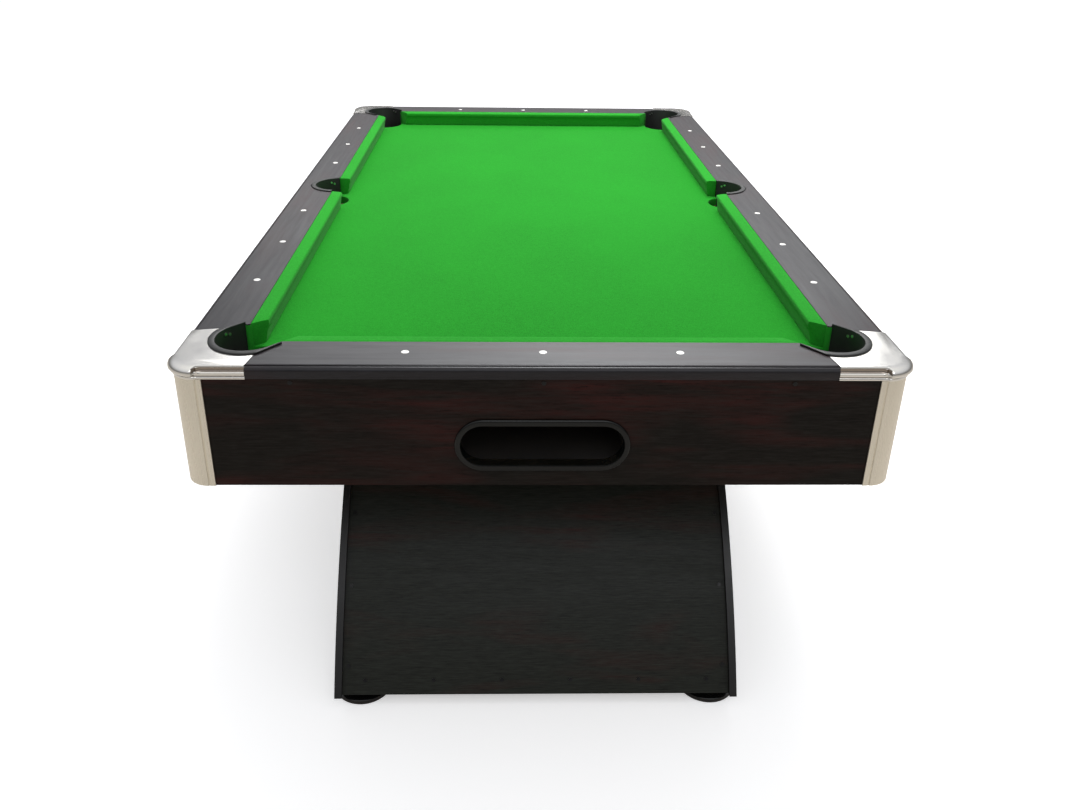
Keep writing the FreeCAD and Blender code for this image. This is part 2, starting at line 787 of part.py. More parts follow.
def frame_beams():
    """Four boards across the cabinet, with lengthwise boards between them over the legs."""
    bottom = "rail_top - apron_bottom"
    top = "rail_top - bed_drop - bed_thick"
    half = "(play_width / 2 + apron_reach - apron_thick)"
    centres = ["-cross_beam_reach", "-cross_beam_inner", "cross_beam_inner", "cross_beam_reach"]
    boards = []
    windows = []
    for index, y in enumerate(centres):
        low = (f"-{half}", f"{y} - cross_beam_thick / 2", bottom)
        boards.append(box(f"cross_board_{index}", low, (half, f"{y} + cross_beam_thick / 2", top)))
    for side, x_sign in SIDES.items():
        centre = f"{x_sign} * runner_offset"
        gap = "(runner_gauge / 2 + 2 * runner_wall)"
        low = (f"{centre} - {gap}", "-(cross_beam_reach + 20)", "rail_top - runner_front_drop - 10")
        high = (f"{centre} + {gap}", "cross_beam_reach + 20", "rail_top - runner_rear_drop + runner_depth + 4")
        windows.append(box(f"runner_window_{side}", low, high))
    beams = cut("cross_beams", group("cross_boards", boards), union("runner_windows", windows))
    subpart(beams, "cross_beams")
    lengths = []
    for side, x_sign in SIDES.items():
        for index, (start, end) in enumerate(zip(centres[:-1], centres[1:])):
            low = (f"{x_sign} * beam_offset - beam_thick / 2", f"{start} + cross_beam_thick / 2", bottom)
            high = (f"{x_sign} * beam_offset + beam_thick / 2", f"{end} - cross_beam_thick / 2", top)
            lengths.append(box(f"long_beam_{side}_{index}", low, high))
    subpart(group("long_beams", lengths), "long_beams")


# ---------------------------------------------------------------- ball return

def trough(name, length, wall_starts=("0", "0")):
    """The four boards of a U-shaped runner along local +X, closed at its start.

    The top of its floor is at z = 0, and wall_starts says where the wall at negative and the wall
    at positive local Y begin.
    """
    half = "(runner_gauge / 2)"
    outer = "(runner_gauge / 2 + runner_wall)"
    return group(name, [
        box(f"{name}_floor", ("0", f"-{outer}", "-runner_wall"), (length, outer, "0")),
        box(f"{name}_wall_a", (wall_starts[0], f"-{outer}", "0"), (length, f"-{half}", "runner_depth")),
        box(f"{name}_wall_b", (wall_starts[1], half, "0"), (length, outer, "runner_depth")),
        box(f"{name}_stop", ("0", f"-{half}", "0"), ("runner_wall", half, "runner_depth")),
    ])


def side_runners():
    """One runner under each row of three pockets, falling towards the front."""
    rear = "(play_length / 2 + corner_pocket_offset + 47)"
    front = "(play_length / 2 + apron_reach - apron_thick - front_runner_inset - runner_gauge - 2)"
    run = number(f"{rear} + {front}")
    fall = math.degrees(math.atan2(number("runner_front_drop - runner_rear_drop"), run))
    for side, x_sign in SIDES.items():
        runner = trough(f"side_runner_{side}", f"{rear} + {front}")
        towards_front = about_z(-90).multiply(Rotation(Vector(0, 1, 0), fall))
        place(runner, f"{x_sign} * runner_offset", rear, "rail_top - runner_rear_drop", rotation=towards_front)
        subpart(runner, f"side_runner_{side}")


def front_runners():
    """Two short runners behind the front apron that carry the balls from the corners to the tray."""
    start = "(runner_offset + runner_gauge / 2 + runner_wall)"
    end = "(tray_half_width + runner_wall)"
    run = number(f"{start} - {end}")
    fall = math.degrees(math.atan2(number("front_runner_end_drop - front_runner_start_drop"), run))
    y = "-(play_length / 2 + apron_reach - apron_thick - front_runner_inset - runner_gauge / 2)"
    side_entry = "runner_gauge + 4 * runner_wall"
    runners = []
    for side, x_sign in SIDES.items():
        wall_starts = ("0", side_entry) if x_sign < 0 else (side_entry, "0")
        runner = trough(f"front_runner_{side}", f"{start} - {end}", wall_starts)
        towards_tray = about_z(0 if x_sign < 0 else 180).multiply(Rotation(Vector(0, 1, 0), fall))
        place(runner, f"{x_sign} * {start}", y, "rail_top - front_runner_start_drop", rotation=towards_tray)
        runners.append(runner)
    subpart(group("front_runners", runners), "front_runners")


def return_tray():
    """The tray behind the window, open on top, at the window and where each front runner ends."""
    front = "-(play_length / 2 + apron_reach - apron_thick)"
    outer = "(tray_half_width + runner_wall)"
    lip = "(rail_top - front_runner_end_drop - runner_wall - 1)"
    floor = "rail_top - tray_drop"
    wall_top = "rail_top - front_runner_start_drop + runner_depth"
    runner_back = f"{front} + front_runner_inset + runner_gauge + runner_wall"
    floor_low = (f"-{outer}", front, f"{floor} - runner_wall")
    pieces = [box("tray_floor", floor_low, (outer, f"{front} + tray_depth", floor))]
    back_low = (f"-{outer}", f"{front} + tray_depth", f"{floor} - runner_wall")
    pieces.append(box("tray_back", back_low, (outer, f"{front} + tray_depth + runner_wall", wall_top)))
    for side, x_sign in SIDES.items():
        x_span = ["tray_half_width", outer] if x_sign > 0 else [f"-{outer}", "-tray_half_width"]
        low_wall = box(f"tray_lip_{side}", (x_span[0], front, floor), (x_span[1], f"{front} + tray_depth", lip))
        high_low = (x_span[0], f"{runner_back} + 1", lip)
        high_wall = box(f"tray_cheek_{side}", high_low, (x_span[1], f"{front} + tray_depth", wall_top))
        pieces += [low_wall, high_wall]
    subpart(group("return_tray", pieces), "return_tray")


# ---------------------------------------------------------------- legs

def arch_y(radius, z, y_sign):
    """Where a circle about the arch's centre crosses the height z, on the front or rear side."""
    return f"{y_sign} * sqrt(({radius})^2 - ({z} + arch_centre_depth)^2)"


def leg_band(outer, inner, y_sign):
    """The ring sector between two arch radii, from the leg's bottom to the cabinet's underside."""
    bottom = "leg_clearance"
    top = "rail_top - apron_bottom"
    centre = "-arch_centre_depth"
    outward, inward = ("cw", "ccw") if y_sign < 0 else ("ccw", "cw")
    return [
        (arch_y(outer, bottom, y_sign), bottom, ("y", centre, outward)),
        (arch_y(outer, top, y_sign), top),
        (arch_y(inner, top, y_sign), top, ("y", centre, inward)),
        (arch_y(inner, bottom, y_sign), bottom),
    ]


def leg_board_outline(y_sign):
    """A side board: the leg's band, ended square near the middle of the table."""
    bottom = "leg_clearance"
    top = "rail_top - apron_bottom"
    centre = "-arch_centre_depth"
    outward, inward = ("cw", "ccw") if y_sign < 0 else ("ccw", "cw")
    inner_end = f"{y_sign} * leg_top_inner"
    inner_height = "sqrt(arch_inner^2 - leg_top_inner^2) - arch_centre_depth"
    return [
        (arch_y("arch_outer", bottom, y_sign), bottom, ("y", centre, outward)),
        (arch_y("arch_outer", top, y_sign), top),
        (inner_end, top),
        (inner_end, inner_height, ("y", centre, inward)),
        (arch_y("arch_inner", bottom, y_sign), bottom),
    ]


def inner_panel_outline(y_sign):
    """The curved panel under the arch, between the side boards."""
    outer = "(arch_inner + leg_panel_inset + leg_panel_thick)"
    inner = "(arch_inner + leg_panel_inset)"
    bottom = "leg_clearance"
    centre = "-arch_centre_depth"
    outward, inward = ("cw", "ccw") if y_sign < 0 else ("ccw", "cw")
    end = f"{y_sign} * leg_top_inner"

    def height(radius):
        return f"sqrt({radius}^2 - leg_top_inner^2) - arch_centre_depth"

    return [
        (arch_y(outer, bottom, y_sign), bottom, ("y", centre, outward)),
        (end, height(outer)),
        (end, height(inner), ("y", centre, inward)),
        (arch_y(inner, bottom, y_sign), bottom),
    ]


def leg(end, y_sign):
    for side, x_sign in SIDES.items():
        board = prism(f"leg_board_{end}_{side}", "YZ_Plane", leg_board_outline(y_sign), "leg_board_thick",
                      symmetric=True)
        place(board, f"{x_sign} * (leg_half_width - leg_board_thick / 2)")
        subpart(board, f"leg_board_{end}_{side}")
    width = "2 * (leg_half_width - leg_board_thick)"
    outer = "(arch_outer - leg_panel_inset)"
    inner = "(arch_outer - leg_panel_inset - leg_panel_thick)"
    outlines = {"outer": leg_band(outer, inner, y_sign), "inner": inner_panel_outline(y_sign)}
    for layer, outline in outlines.items():
        label = f"leg_{layer}_panel_{end}"
        subpart(prism(label, "YZ_Plane", outline, width, symmetric=True), label)


def leg_top_plates():
    """Plates under the cabinet that bolt the legs to the lengthwise beams."""
    half = "(leg_half_width - leg_board_thick)"
    top = "rail_top - apron_bottom"
    plates = []
    for end, y_sign in ENDS.items():
        middle = f"{y_sign} * (top_plate_inner + top_plate_outer) / 2"
        reach = "(top_plate_outer - top_plate_inner) / 2"
        low = (f"-{half}", f"{middle} - {reach}", f"{top} - leg_plate_thick")
        plates.append(box(f"leg_top_plate_{end}", low, (half, f"{middle} + {reach}", top)))
    subpart(group("leg_top_plates", plates), "leg_top_plates")


def leg_base_plates():
    """Plates at the bottom of the legs, each bored for two levelling nuts."""
    half = "(leg_half_width - leg_board_thick)"
    plates = []
    for end, y_sign in ENDS.items():
        low = (f"-{half}", f"{y_sign} * foot_y - base_plate_half", "leg_clearance")
        high = (half, f"{y_sign} * foot_y + base_plate_half", "leg_clearance + leg_plate_thick")
        bores = []
        for side, x_sign in SIDES.items():
            spot = (f"{x_sign} * foot_x", f"{y_sign} * foot_y", "0")
            bores.append(cylinder(f"base_bore_{end}_{side}", "nut_radius", spot, "100"))
        blank = box(f"base_blank_{end}", low, high)
        plates.append(cut(f"leg_base_plate_{end}", blank, union(f"base_bores_{end}", bores)))
    subpart(group("leg_base_plates", plates), "leg_base_plates")


def levelling_nuts():
    """Barrel nuts let into the base plates; each stem turns in one."""
    nuts = []
    for name, (x_sign, y_sign) in CORNERS.items():
        body = doc.addObject("PartDesign::Body", f"levelling_nut_{name}")
        sketch = new_sketch(body, f"nut_ring_{name}", "XY_Plane", "leg_clearance")
        add_circle(sketch, "nut_radius")
        add_circle(sketch, "stem_radius + stem_gap")
        pad(body, sketch, "leg_plate_thick")
        place(body, f"{x_sign} * foot_x", f"{y_sign} * foot_y")
        nuts.append(body)
    subpart(group("levelling_nuts", nuts), "levelling_nuts")


def foot_pad(name, x_sign, y_sign):
    """A round moulded foot: a rounded edge, a shallow cone and a neck with a socket for the stem."""
    body = doc.addObject("PartDesign::Body", f"foot_pad_{name}")
    sketch = new_sketch(body, f"foot_profile_{name}", "XZ_Plane")
    top = "(leg_clearance - soft_gap)"
    socket = "(stem_radius + stem_gap)"
    add_outline(sketch, [
        ("0", "0"),
        ("foot_radius - 2", "0"),
        ("foot_radius", "3"),
        ("foot_radius", "foot_edge", ("y", "foot_edge", "ccw")),
        ("foot_radius - 4", "foot_edge + 4"),
        ("foot_neck + 12", "foot_edge + 10"),
        ("foot_neck", top),
        (socket, top),
        (socket, "stem_socket"),
        ("0", "stem_socket"),
    ])
    turned = body.newObject("PartDesign::Revolution", f"foot_turned_{name}")
    turned.Profile = sketch
    turned.ReferenceAxis = (sketch, ["V_Axis"])
    turned.Angle = 360
    place(body, f"{x_sign} * foot_x", f"{y_sign} * foot_y")
    subpart(body, f"foot_pad_{name}")


def foot_stem(name, x_sign, y_sign):
    low = (f"{x_sign} * foot_x", f"{y_sign} * foot_y", "stem_socket")
    subpart(cylinder(f"foot_stem_{name}", "stem_radius", low, "stem_length"), f"foot_stem_{name}")


def cabinet_screws():
    """Dark screw heads: three under each end rail, and a border of them on each outer leg panel."""
    radius = "(arch_outer - leg_panel_inset)"
    spots = [(f"{step} * panel_screw_pitch / 2", "panel_screw_low") for step in (-5, -3, -1, 1, 3, 5)]
    spots += [(f"{step} * panel_screw_side", str(z)) for step in (-1, 1) for z in PANEL_SCREW_HEIGHTS]
    heads = []
    for end, y_sign in ENDS.items():
        outward = Rotation(Vector(0, 0, 1), Vector(0, y_sign, 0))
        y_face = f"{y_sign} * (play_length / 2 + apron_reach)"
        for step in (-1, 0, 1):
            low = (f"{step} * apron_screw_pitch", y_face, "rail_top - nosing_depth - apron_screw_drop")
            heads.append(cylinder(f"apron_screw_{end}_{step + 1}", "screw_radius", low, "screw_proud", outward))
        for index, (x, z) in enumerate(spots):
            y = arch_y(radius, z, y_sign)
            off_panel = Rotation(Vector(0, 0, 1), Vector(0, number(y), number(f"{z} + arch_centre_depth")))
            name = f"panel_screw_{end}_{index}"
            heads.append(cylinder(name, "screw_radius", (x, y, z), "screw_proud", off_panel))
    subpart(group("cabinet_screws", heads), "cabinet_screws")


# ---------------------------------------------------------------- assembly

def build():
    holes = pocket_holes()
    mouths = pocket_mouths()
    bed_panel(holes, mouths)
    bed_cloth(holes, mouths)
    all_rails(holes, mouths)
    all_cushions()
    all_pocket_liners()
    pocket_screws()
    sights()
    for name, signs in CORNERS.items():
        corner_cap(name, *signs, holes, mouths)
        corner_post(name, *signs)
        foot_pad(name, *signs)
        foot_stem(name, *signs)
    corner_blocks()
    aprons()
    return_bezel()
    frame_beams()
    side_runners()
    front_runners()
    return_tray()
    for end, y_sign in ENDS.items():
        leg(end, y_sign)
    leg_top_plates()
    leg_base_plates()
    levelling_nuts()
    cabinet_screws()


def export():
    """Checks every object, then writes one STEP file for each sub-part."""
    failed = [item.Label for item in doc.Objects if {"Invalid", "Error"} & set(item.State)]
    bad = [item.Label for item in subparts if item.Shape.isNull() or not item.Shape.isValid()]
    if failed or bad:
        raise RuntimeError(f"failed objects {failed}, bad shapes {bad}")
    os.makedirs("parts", exist_ok=True)
    for item in subparts:
        item.Shape.exportStep(f"parts/{item.Label}.step")


build()
doc.recompute()
export()
print(len(subparts), "sub-parts")
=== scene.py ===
"""Looks of the seven-foot pool table: cloth, cushions, laminate, metal trim, stage and camera.

Metres, in the CAD frame: X across, Y along towards the rear end, Z up, origin on the floor.
"""
import math

import bmesh
import bpy
from mathutils import Matrix, Vector

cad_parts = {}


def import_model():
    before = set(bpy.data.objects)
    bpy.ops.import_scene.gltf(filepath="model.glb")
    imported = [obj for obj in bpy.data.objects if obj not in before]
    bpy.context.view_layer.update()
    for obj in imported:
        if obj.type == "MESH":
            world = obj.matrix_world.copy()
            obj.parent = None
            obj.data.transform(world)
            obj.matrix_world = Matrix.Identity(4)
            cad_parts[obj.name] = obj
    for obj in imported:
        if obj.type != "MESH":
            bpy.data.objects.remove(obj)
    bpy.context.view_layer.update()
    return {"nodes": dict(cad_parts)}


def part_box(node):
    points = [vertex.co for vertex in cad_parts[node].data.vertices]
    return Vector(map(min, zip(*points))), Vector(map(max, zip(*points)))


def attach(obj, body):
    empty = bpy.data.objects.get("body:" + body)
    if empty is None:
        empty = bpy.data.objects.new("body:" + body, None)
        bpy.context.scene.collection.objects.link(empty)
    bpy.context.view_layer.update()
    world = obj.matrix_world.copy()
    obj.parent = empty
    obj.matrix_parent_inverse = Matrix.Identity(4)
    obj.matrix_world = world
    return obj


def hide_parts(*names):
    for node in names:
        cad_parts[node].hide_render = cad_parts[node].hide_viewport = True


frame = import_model()
nodes = frame["nodes"]

CORNERS = {
    "front_left": (-1, -1),
    "front_right": (1, -1),
    "rear_left": (-1, 1),
    "rear_right": (1, 1),
}
SIDES = {"left": -1, "right": 1}
ENDS = {"front": -1, "rear": 1}

# ---------------------------------------------------------------- sizes read from the frame

cloth_low, cloth_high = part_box("bed_cloth")
MM = 0.001
RAIL_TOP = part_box("rail_front")[1].z
BED_TOP = cloth_low.z
CLOTH_TOP = cloth_high.z
CLOTH_HALF_WIDTH, CLOTH_HALF_LENGTH = cloth_high.x, cloth_high.y
NOSE_X = -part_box("cushion_left_front")[1].x
NOSE_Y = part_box("cushion_rear")[0].y
CAP_X, CAP_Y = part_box("corner_cap_rear_right")[1].xy
CAP_IN_X, CAP_IN_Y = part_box("corner_cap_rear_right")[0].xy
POST_X, POST_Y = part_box("corner_post_rear_right")[1].xy

# ---------------------------------------------------------------- sizes of the design

CORNER_POCKET_SETBACK = 14 * MM
SIDE_POCKET_SETBACK = 22.5 * MM
POCKET_X, POCKET_Y = NOSE_X + CORNER_POCKET_SETBACK, NOSE_Y + CORNER_POCKET_SETBACK
SIDE_POCKET_X = NOSE_X + SIDE_POCKET_SETBACK
POCKET_RADIUS = 60 * MM
HOLE_RADIUS = 62.5 * MM
THROAT_SETBACK, THROAT_RADIUS = 46 * MM, 51 * MM
CLOTH_DROP = 20 * MM
CUSHION_DEPTH = 27.7 * MM
CORNER_MOUTH_NOSE, CORNER_MOUTH_BACK = 73 * MM, 48 * MM
SIDE_MOUTH_NOSE, SIDE_MOUTH_BACK = 70 * MM, 66 * MM
CAP_RADIUS = 52 * MM
CAP_BULGE = 5.0 * MM
LINER_RIM = 72.5 * MM
LINER_DEPTH = 76 * MM
WINDOW_WIDTH, WINDOW_HEIGHT = 292 * MM, 80 * MM
SIGHT_PITCH, SIGHT_SETBACK = 242.5 * MM, 70 * MM
SHARP_ANGLE = 34


# ---------------------------------------------------------------- material helpers

class Shader:
    """A Principled material and short ways to add nodes to it."""

    def __init__(self, name, **surface):
        self.material = bpy.data.materials.new(name)
        self.material.use_nodes = True
        self.tree = self.material.node_tree
        self.surface = self.tree.nodes["Principled BSDF"]
        for socket, value in surface.items():
            self.set(self.surface, socket, value)
        self.place = self.tree.nodes.new("ShaderNodeTexCoord").outputs["Object"]

    @staticmethod
    def socket(node, name):
        return node.inputs[name.replace("_", " ")] if isinstance(name, str) else node.inputs[name]

    def set(self, node, name, value):
        target = self.socket(node, name)
        if isinstance(value, bpy.types.NodeSocket):
            self.tree.links.new(value, target)
        elif isinstance(value, tuple) and len(value) == 3 and target.type == "RGBA":
            target.default_value = (*value, 1)
        else:
            target.default_value = value

    def noise(self, scale, detail, roughness, distortion=0.0):
        """Noise on object coordinates times a scale, so a large number makes fine detail."""
        mapping = self.tree.nodes.new("ShaderNodeMapping")
        self.set(mapping, "Vector", self.place)
        self.set(mapping, "Scale", scale)
        texture = self.tree.nodes.new("ShaderNodeTexNoise")
        self.set(texture, "Vector", mapping.outputs["Vector"])
        self.set(texture, "Scale", 1.0)
        self.set(texture, "Detail", detail)
        self.set(texture, "Roughness", roughness)
        self.set(texture, "Distortion", distortion)
        return texture.outputs["Fac"]

    def ramp(self, value, *stops):
        """Maps a value through (position, grey or colour) stops."""
        node = self.tree.nodes.new("ShaderNodeValToRGB")
        self.set(node, "Fac", value)
        fill_ramp(node, stops)
        return node.outputs["Color"]

    def mix(self, factor, first, second):
        node = self.tree.nodes.new("ShaderNodeMix")
        node.data_type = "RGBA"
        self.set(node, 0, factor)
        self.set(node, 6, first)
        self.set(node, 7, second)
        return node.outputs[2]

    def math(self, operation, first, second):
        node = self.tree.nodes.new("ShaderNodeMath")
        node.operation = operation
        self.set(node, 0, first)
        self.set(node, 1, second)
        return node.outputs[0]

    def bump(self, height, strength, distance, below=None):
        node = self.tree.nodes.new("ShaderNodeBump")
        self.set(node, "Height", height)
        self.set(node, "Strength", strength)
        self.set(node, "Distance", distance)
        if below is not None:
            self.set(node, "Normal", below)
        return node.outputs["Normal"]

    def finish(self, **surface):
        for socket, value in surface.items():
            self.set(self.surface, socket, value)
        return self.material


def fill_ramp(node, stops):
    """Sets a colour ramp to (position, grey or colour) stops."""
    elements = node.color_ramp.elements
    while len(elements) < len(stops):
        elements.new(0.5)
    for element, (position, colour) in zip(elements, stops):
        element.position = position
        element.color = (*colour, 1) if isinstance(colour, tuple) else (*[colour] * 3, 1)


def stretched(axis, along, across):
    """A noise scale that is coarse along one axis and fine across it."""
    return tuple(along if letter == axis else across for letter in "XYZ")


def even(scale):
    return scale, scale, scale


def times(colour, factor, lift=0.0):
    return tuple(part * factor + lift for part in colour)


# ---------------------------------------------------------------- materials

def laminate(name, grain_axis, dark, red, painted_sheen_grey, roughness, gloss, patch=0.5):
    """Printed wood grain: long streaks along one axis, with redder patches and fine pores, and a
    pale grey along the fine grain that paints the reflected sheen.
    """
    shade = Shader(name, Specular_IOR_Level=gloss)
    shade.set(shade.surface, "Specular_Tint", (0.93, 0.96, 1.0))
    streaks = shade.noise(stretched(grain_axis, 4.5, 60.0), 5.0, 0.6, 0.35)
    fine = shade.noise(stretched(grain_axis, 31.5, 420.0), 3.0, 0.7)
    broad = shade.noise(stretched(grain_axis, 2.6, 11.0), 2.0, 0.5, 0.6)
    redness = shade.math("MULTIPLY", shade.ramp(broad, (patch - 0.06, 0.0), (patch + 0.2, 1.0)),
                         shade.ramp(streaks, (0.38, 0.15), (0.62, 1.0)))
    base = shade.mix(redness, dark, red)
    # Pale grey mixed in along the fine grain: painted sheen.
    base = shade.mix(shade.ramp(fine, (0.45, 0.0), (0.72, 0.55)), base, painted_sheen_grey)
    pores = shade.ramp(fine, (0.28, 0.0), (0.42, 1.0))
    base = shade.mix(pores, times(dark, 0.45), base)
    rough = shade.ramp(streaks, (0.3, roughness - 0.05), (0.7, roughness + 0.07))
    normal = shade.bump(fine, 0.12, 0.0004)
    return shade.finish(Base_Color=base, Roughness=rough, Normal=normal)


def felt(name, colour, nap_axis):
    """Billiard cloth: a dense fibre nap brushed one way, faint mottling and a soft sheen."""
    shade = Shader(
        name, Sheen_Weight=0.06, Sheen_Roughness=0.5, Roughness=0.95, Specular_IOR_Level=0.05)
    shade.set(shade.surface, "Sheen_Tint", (0.75, 1.0, 0.75))
    fibres = shade.noise(stretched(nap_axis, 320.0, 900.0), 2.0, 0.6)
    tufts = shade.noise((140.0, 110.0, 140.0), 3.0, 0.6)
    mottle = shade.noise((3.2, 2.2, 3.2), 3.0, 0.5)
    dark, light = times(colour, 0.72), times(colour, 1.22, 0.004)
    base = shade.mix(shade.ramp(fibres, (0.3, 0.0), (0.7, 1.0)), dark, light)
    base = shade.mix(shade.ramp(tufts, (0.35, 0.16), (0.65, 0.0)), base, times(colour, 0.5))
    base = shade.mix(shade.ramp(mottle, (0.35, 0.0), (0.65, 0.16)), base, times(colour, 1.5))
    weave = shade.bump(fibres, 0.35, 0.0006)
    weave = shade.bump(tufts, 0.18, 0.0012, weave)
    return shade.finish(Base_Color=base, Normal=weave)


def brushed_metal(name, colour, roughness, brush_axis, streak):
    """Metal with fine brushing along one axis and slight tarnish."""
    shade = Shader(name, Metallic=1.0)
    brushing = shade.noise(stretched(brush_axis, 4.0, 700.0), 3.0, 0.7)
    tarnish = shade.noise((9.0, 9.0, 6.0), 3.0, 0.55)
    lines = shade.ramp(brushing, (0.35, streak), (0.65, 0.0))
    base = shade.mix(lines, colour, times(colour, 0.55))
    base = shade.mix(shade.ramp(tarnish, (0.4, 0.0), (0.7, 0.12)), base, times(colour, 0.7))
    rough = shade.ramp(brushing, (0.3, roughness - 0.05), (0.7, roughness + 0.08))
    normal = shade.bump(brushing, 0.08, 0.0002)
    return shade.finish(Base_Color=base, Roughness=rough, Normal=normal)


def cast_metal(name, colour, roughness):
    """Satin plated casting with a faint orange-peel and small marks."""
    shade = Shader(name, Metallic=1.0)
    peel = shade.noise(even(260.0), 2.0, 0.5)
    marks = shade.noise(even(22.0), 4.0, 0.6)
    base = shade.mix(shade.ramp(marks, (0.45, 0.0), (0.75, 0.2)), colour, times(colour, 0.72))
    rough = shade.ramp(marks, (0.3, roughness - 0.04), (0.75, roughness + 0.12))
    normal = shade.bump(peel, 0.05, 0.0004)
    return shade.finish(Base_Color=base, Roughness=rough, Normal=normal)


def plastic(name, colour, roughness, grain=300.0, strength=0.08, coat=0.0, gloss=0.5):
    """Moulded plastic or rubber: fine surface grain, dust and rubbed areas."""
    shade = Shader(name, Coat_Weight=coat, Coat_Roughness=0.08, Specular_IOR_Level=gloss)
    skin = shade.noise(even(grain), 2.0, 0.5)
    rub = shade.noise(even(14.0), 4.0, 0.6)
    dusty = times(colour, 1.9, 0.004)
    base = shade.mix(shade.ramp(rub, (0.45, 0.0), (0.8, 0.35)), colour, dusty)
    rough = shade.ramp(rub, (0.3, roughness - 0.04), (0.75, roughness + 0.1))
    normal = shade.bump(skin, strength, 0.0003)
    return shade.finish(Base_Color=base, Roughness=rough, Normal=normal)


def fibreboard(name):
    """Bare board: pale and dark fibres with broad faint stains."""
    shade = Shader(name, Roughness=0.8)
    chips = shade.noise(even(160.0), 4.0, 0.7)
    stain = shade.noise(even(4.0), 3.0, 0.5)
    share = shade.ramp(chips, (0.35, 0.0), (0.65, 1.0))
    base = shade.mix(share, (0.34, 0.24, 0.15), (0.52, 0.39, 0.25))
    base = shade.mix(shade.ramp(stain, (0.4, 0.0), (0.7, 0.25)), base, (0.25, 0.17, 0.1))
    return shade.finish(Base_Color=base, Normal=shade.bump(chips, 0.2, 0.0005))


BED_GREEN = (0.009, 0.225, 0.011)
# The cushions' cloth is the bed's green made lighter: painted light for the brighter cushion tops.
PAINTED_LIT_CUSHION_GREEN = (0.016, 0.262, 0.018)
# The printed grain of each laminate, as (darkest, reddest, palest); the palest is a grey that
# paints the reflected sheen, bluish on the rails.
RAIL_GRAIN = (0.007, 0.005, 0.006), (0.024, 0.008, 0.008), (0.016, 0.014, 0.018)
APRON_GRAIN = (0.0088, 0.0066, 0.0046), (0.042, 0.0085, 0.0065), (0.022, 0.019, 0.0155)
LEG_GRAIN = (0.016, 0.0168, 0.013), (0.040, 0.012, 0.009), (0.034, 0.038, 0.030)
BLACK = even(0.003)

MATERIALS = {
    "bed_felt": felt("bed_felt", BED_GREEN, "Y"),
    "cushion_felt_x": felt("cushion_felt_x", PAINTED_LIT_CUSHION_GREEN, "X"),
    "cushion_felt_y": felt("cushion_felt_y", PAINTED_LIT_CUSHION_GREEN, "Y"),
    "rail_x": laminate("rail_laminate_x", "X", *RAIL_GRAIN, roughness=0.38, gloss=0.42),
    "rail_y": laminate("rail_laminate_y", "Y", *RAIL_GRAIN, roughness=0.38, gloss=0.42),
    "apron_x": laminate("apron_laminate_x", "X", *APRON_GRAIN, roughness=0.46, gloss=0.1),
    "apron_y": laminate("apron_laminate_y", "Y", *APRON_GRAIN, roughness=0.46, gloss=0.1),
    "leg_panel": laminate(
        "leg_laminate", "X", *LEG_GRAIN, roughness=0.42, gloss=0.16, patch=0.56),
    "leg_board": plastic("leg_edge_laminate", BLACK, 0.42, grain=120.0, strength=0.05),
    "board": fibreboard("raw_board"),
    "cap": cast_metal("satin_nickel", (0.90, 0.88, 0.83), 0.16),
    # A darker, browner copy of the nickel: painted reflection and shade for the cap's hollow band
    # and groove.
    "cap_painted_shade_and_reflection": cast_metal("nickel_painted_reflection", (0.36, 0.31, 0.265), 0.22),
    "post": brushed_metal("brushed_aluminium", (0.90, 0.85, 0.73), 0.28, "Z", streak=0.12),
    "liner": plastic("pocket_rubber", (0.010, 0.011, 0.010), 0.45, grain=500.0, strength=0.12),
    "gloss": plastic("gloss_black", BLACK, 0.2, grain=60.0, strength=0.02, coat=0.25),
    "surround": plastic(
        "window_surround", (0.0022, 0.0028, 0.0024), 0.2, grain=60.0, strength=0.02, gloss=0.36),
    "runner": plastic("runner_plastic", even(0.014), 0.5),
    "zinc": brushed_metal("zinc_steel", (0.62, 0.62, 0.6), 0.3, "X", streak=0.2),
    "screw": plastic("blackened_screw", even(0.004), 0.3, grain=800.0, strength=0.1, gloss=0.3),
    "sight": plastic("white_inlay", (0.78, 0.77, 0.73), 0.2, strength=0.03, coat=0.4),
}

# The first prefix that a node's name starts with gives its material.
NODE_MATERIALS = [
    ("rail_front", "rail_x"), ("rail_rear", "rail_x"), ("rail_", "rail_y"),
    ("apron_front", "apron_x"), ("apron_rear", "apron_x"), ("apron_", "apron_y"),
    ("leg_outer", "leg_panel"), ("leg_inner", "leg_panel"), ("leg_board", "leg_board"),
    ("corner_cap", "cap"), ("corner_post", "post"), ("corner_blocks", "board"),
    ("pocket_liner", "liner"), ("pocket_screws", "zinc"), ("cabinet_screws", "screw"),
    ("return_bezel", "gloss"), ("return_tray", "runner"), ("side_runner", "runner"),
    ("front_runners", "runner"), ("foot_pad", "gloss"), ("foot_stem", "zinc"),
    ("levelling_nuts", "zinc"), ("sights", "sight"), ("cushion", "cushion_felt_y"),
    ("bed_cloth", "bed_felt"), ("", "board"),
]


def dress_cad_nodes():
    """Gives each CAD node the material of the first prefix that it matches."""
    for name, item in nodes.items():
        key = next(value for prefix, value in NODE_MATERIALS if name.startswith(prefix))
        item.data.materials.clear()
        item.data.materials.append(MATERIALS[key])


# ---------------------------------------------------------------- mesh helpers

def loft(bm, rings):
    """Joins closed rings of equally many points with quads and closes both ends."""
    rows = [[bm.verts.new(point) for point in ring] for ring in rings]
    count = len(rows[0])
    for lower, upper in zip(rows, rows[1:]):
        for i in range(count):
            j = (i + 1) % count
            bm.faces.new((lower[i], lower[j], upper[j], upper[i]))
    bm.faces.new(reversed(rows[0]))
    bm.faces.new(rows[-1])


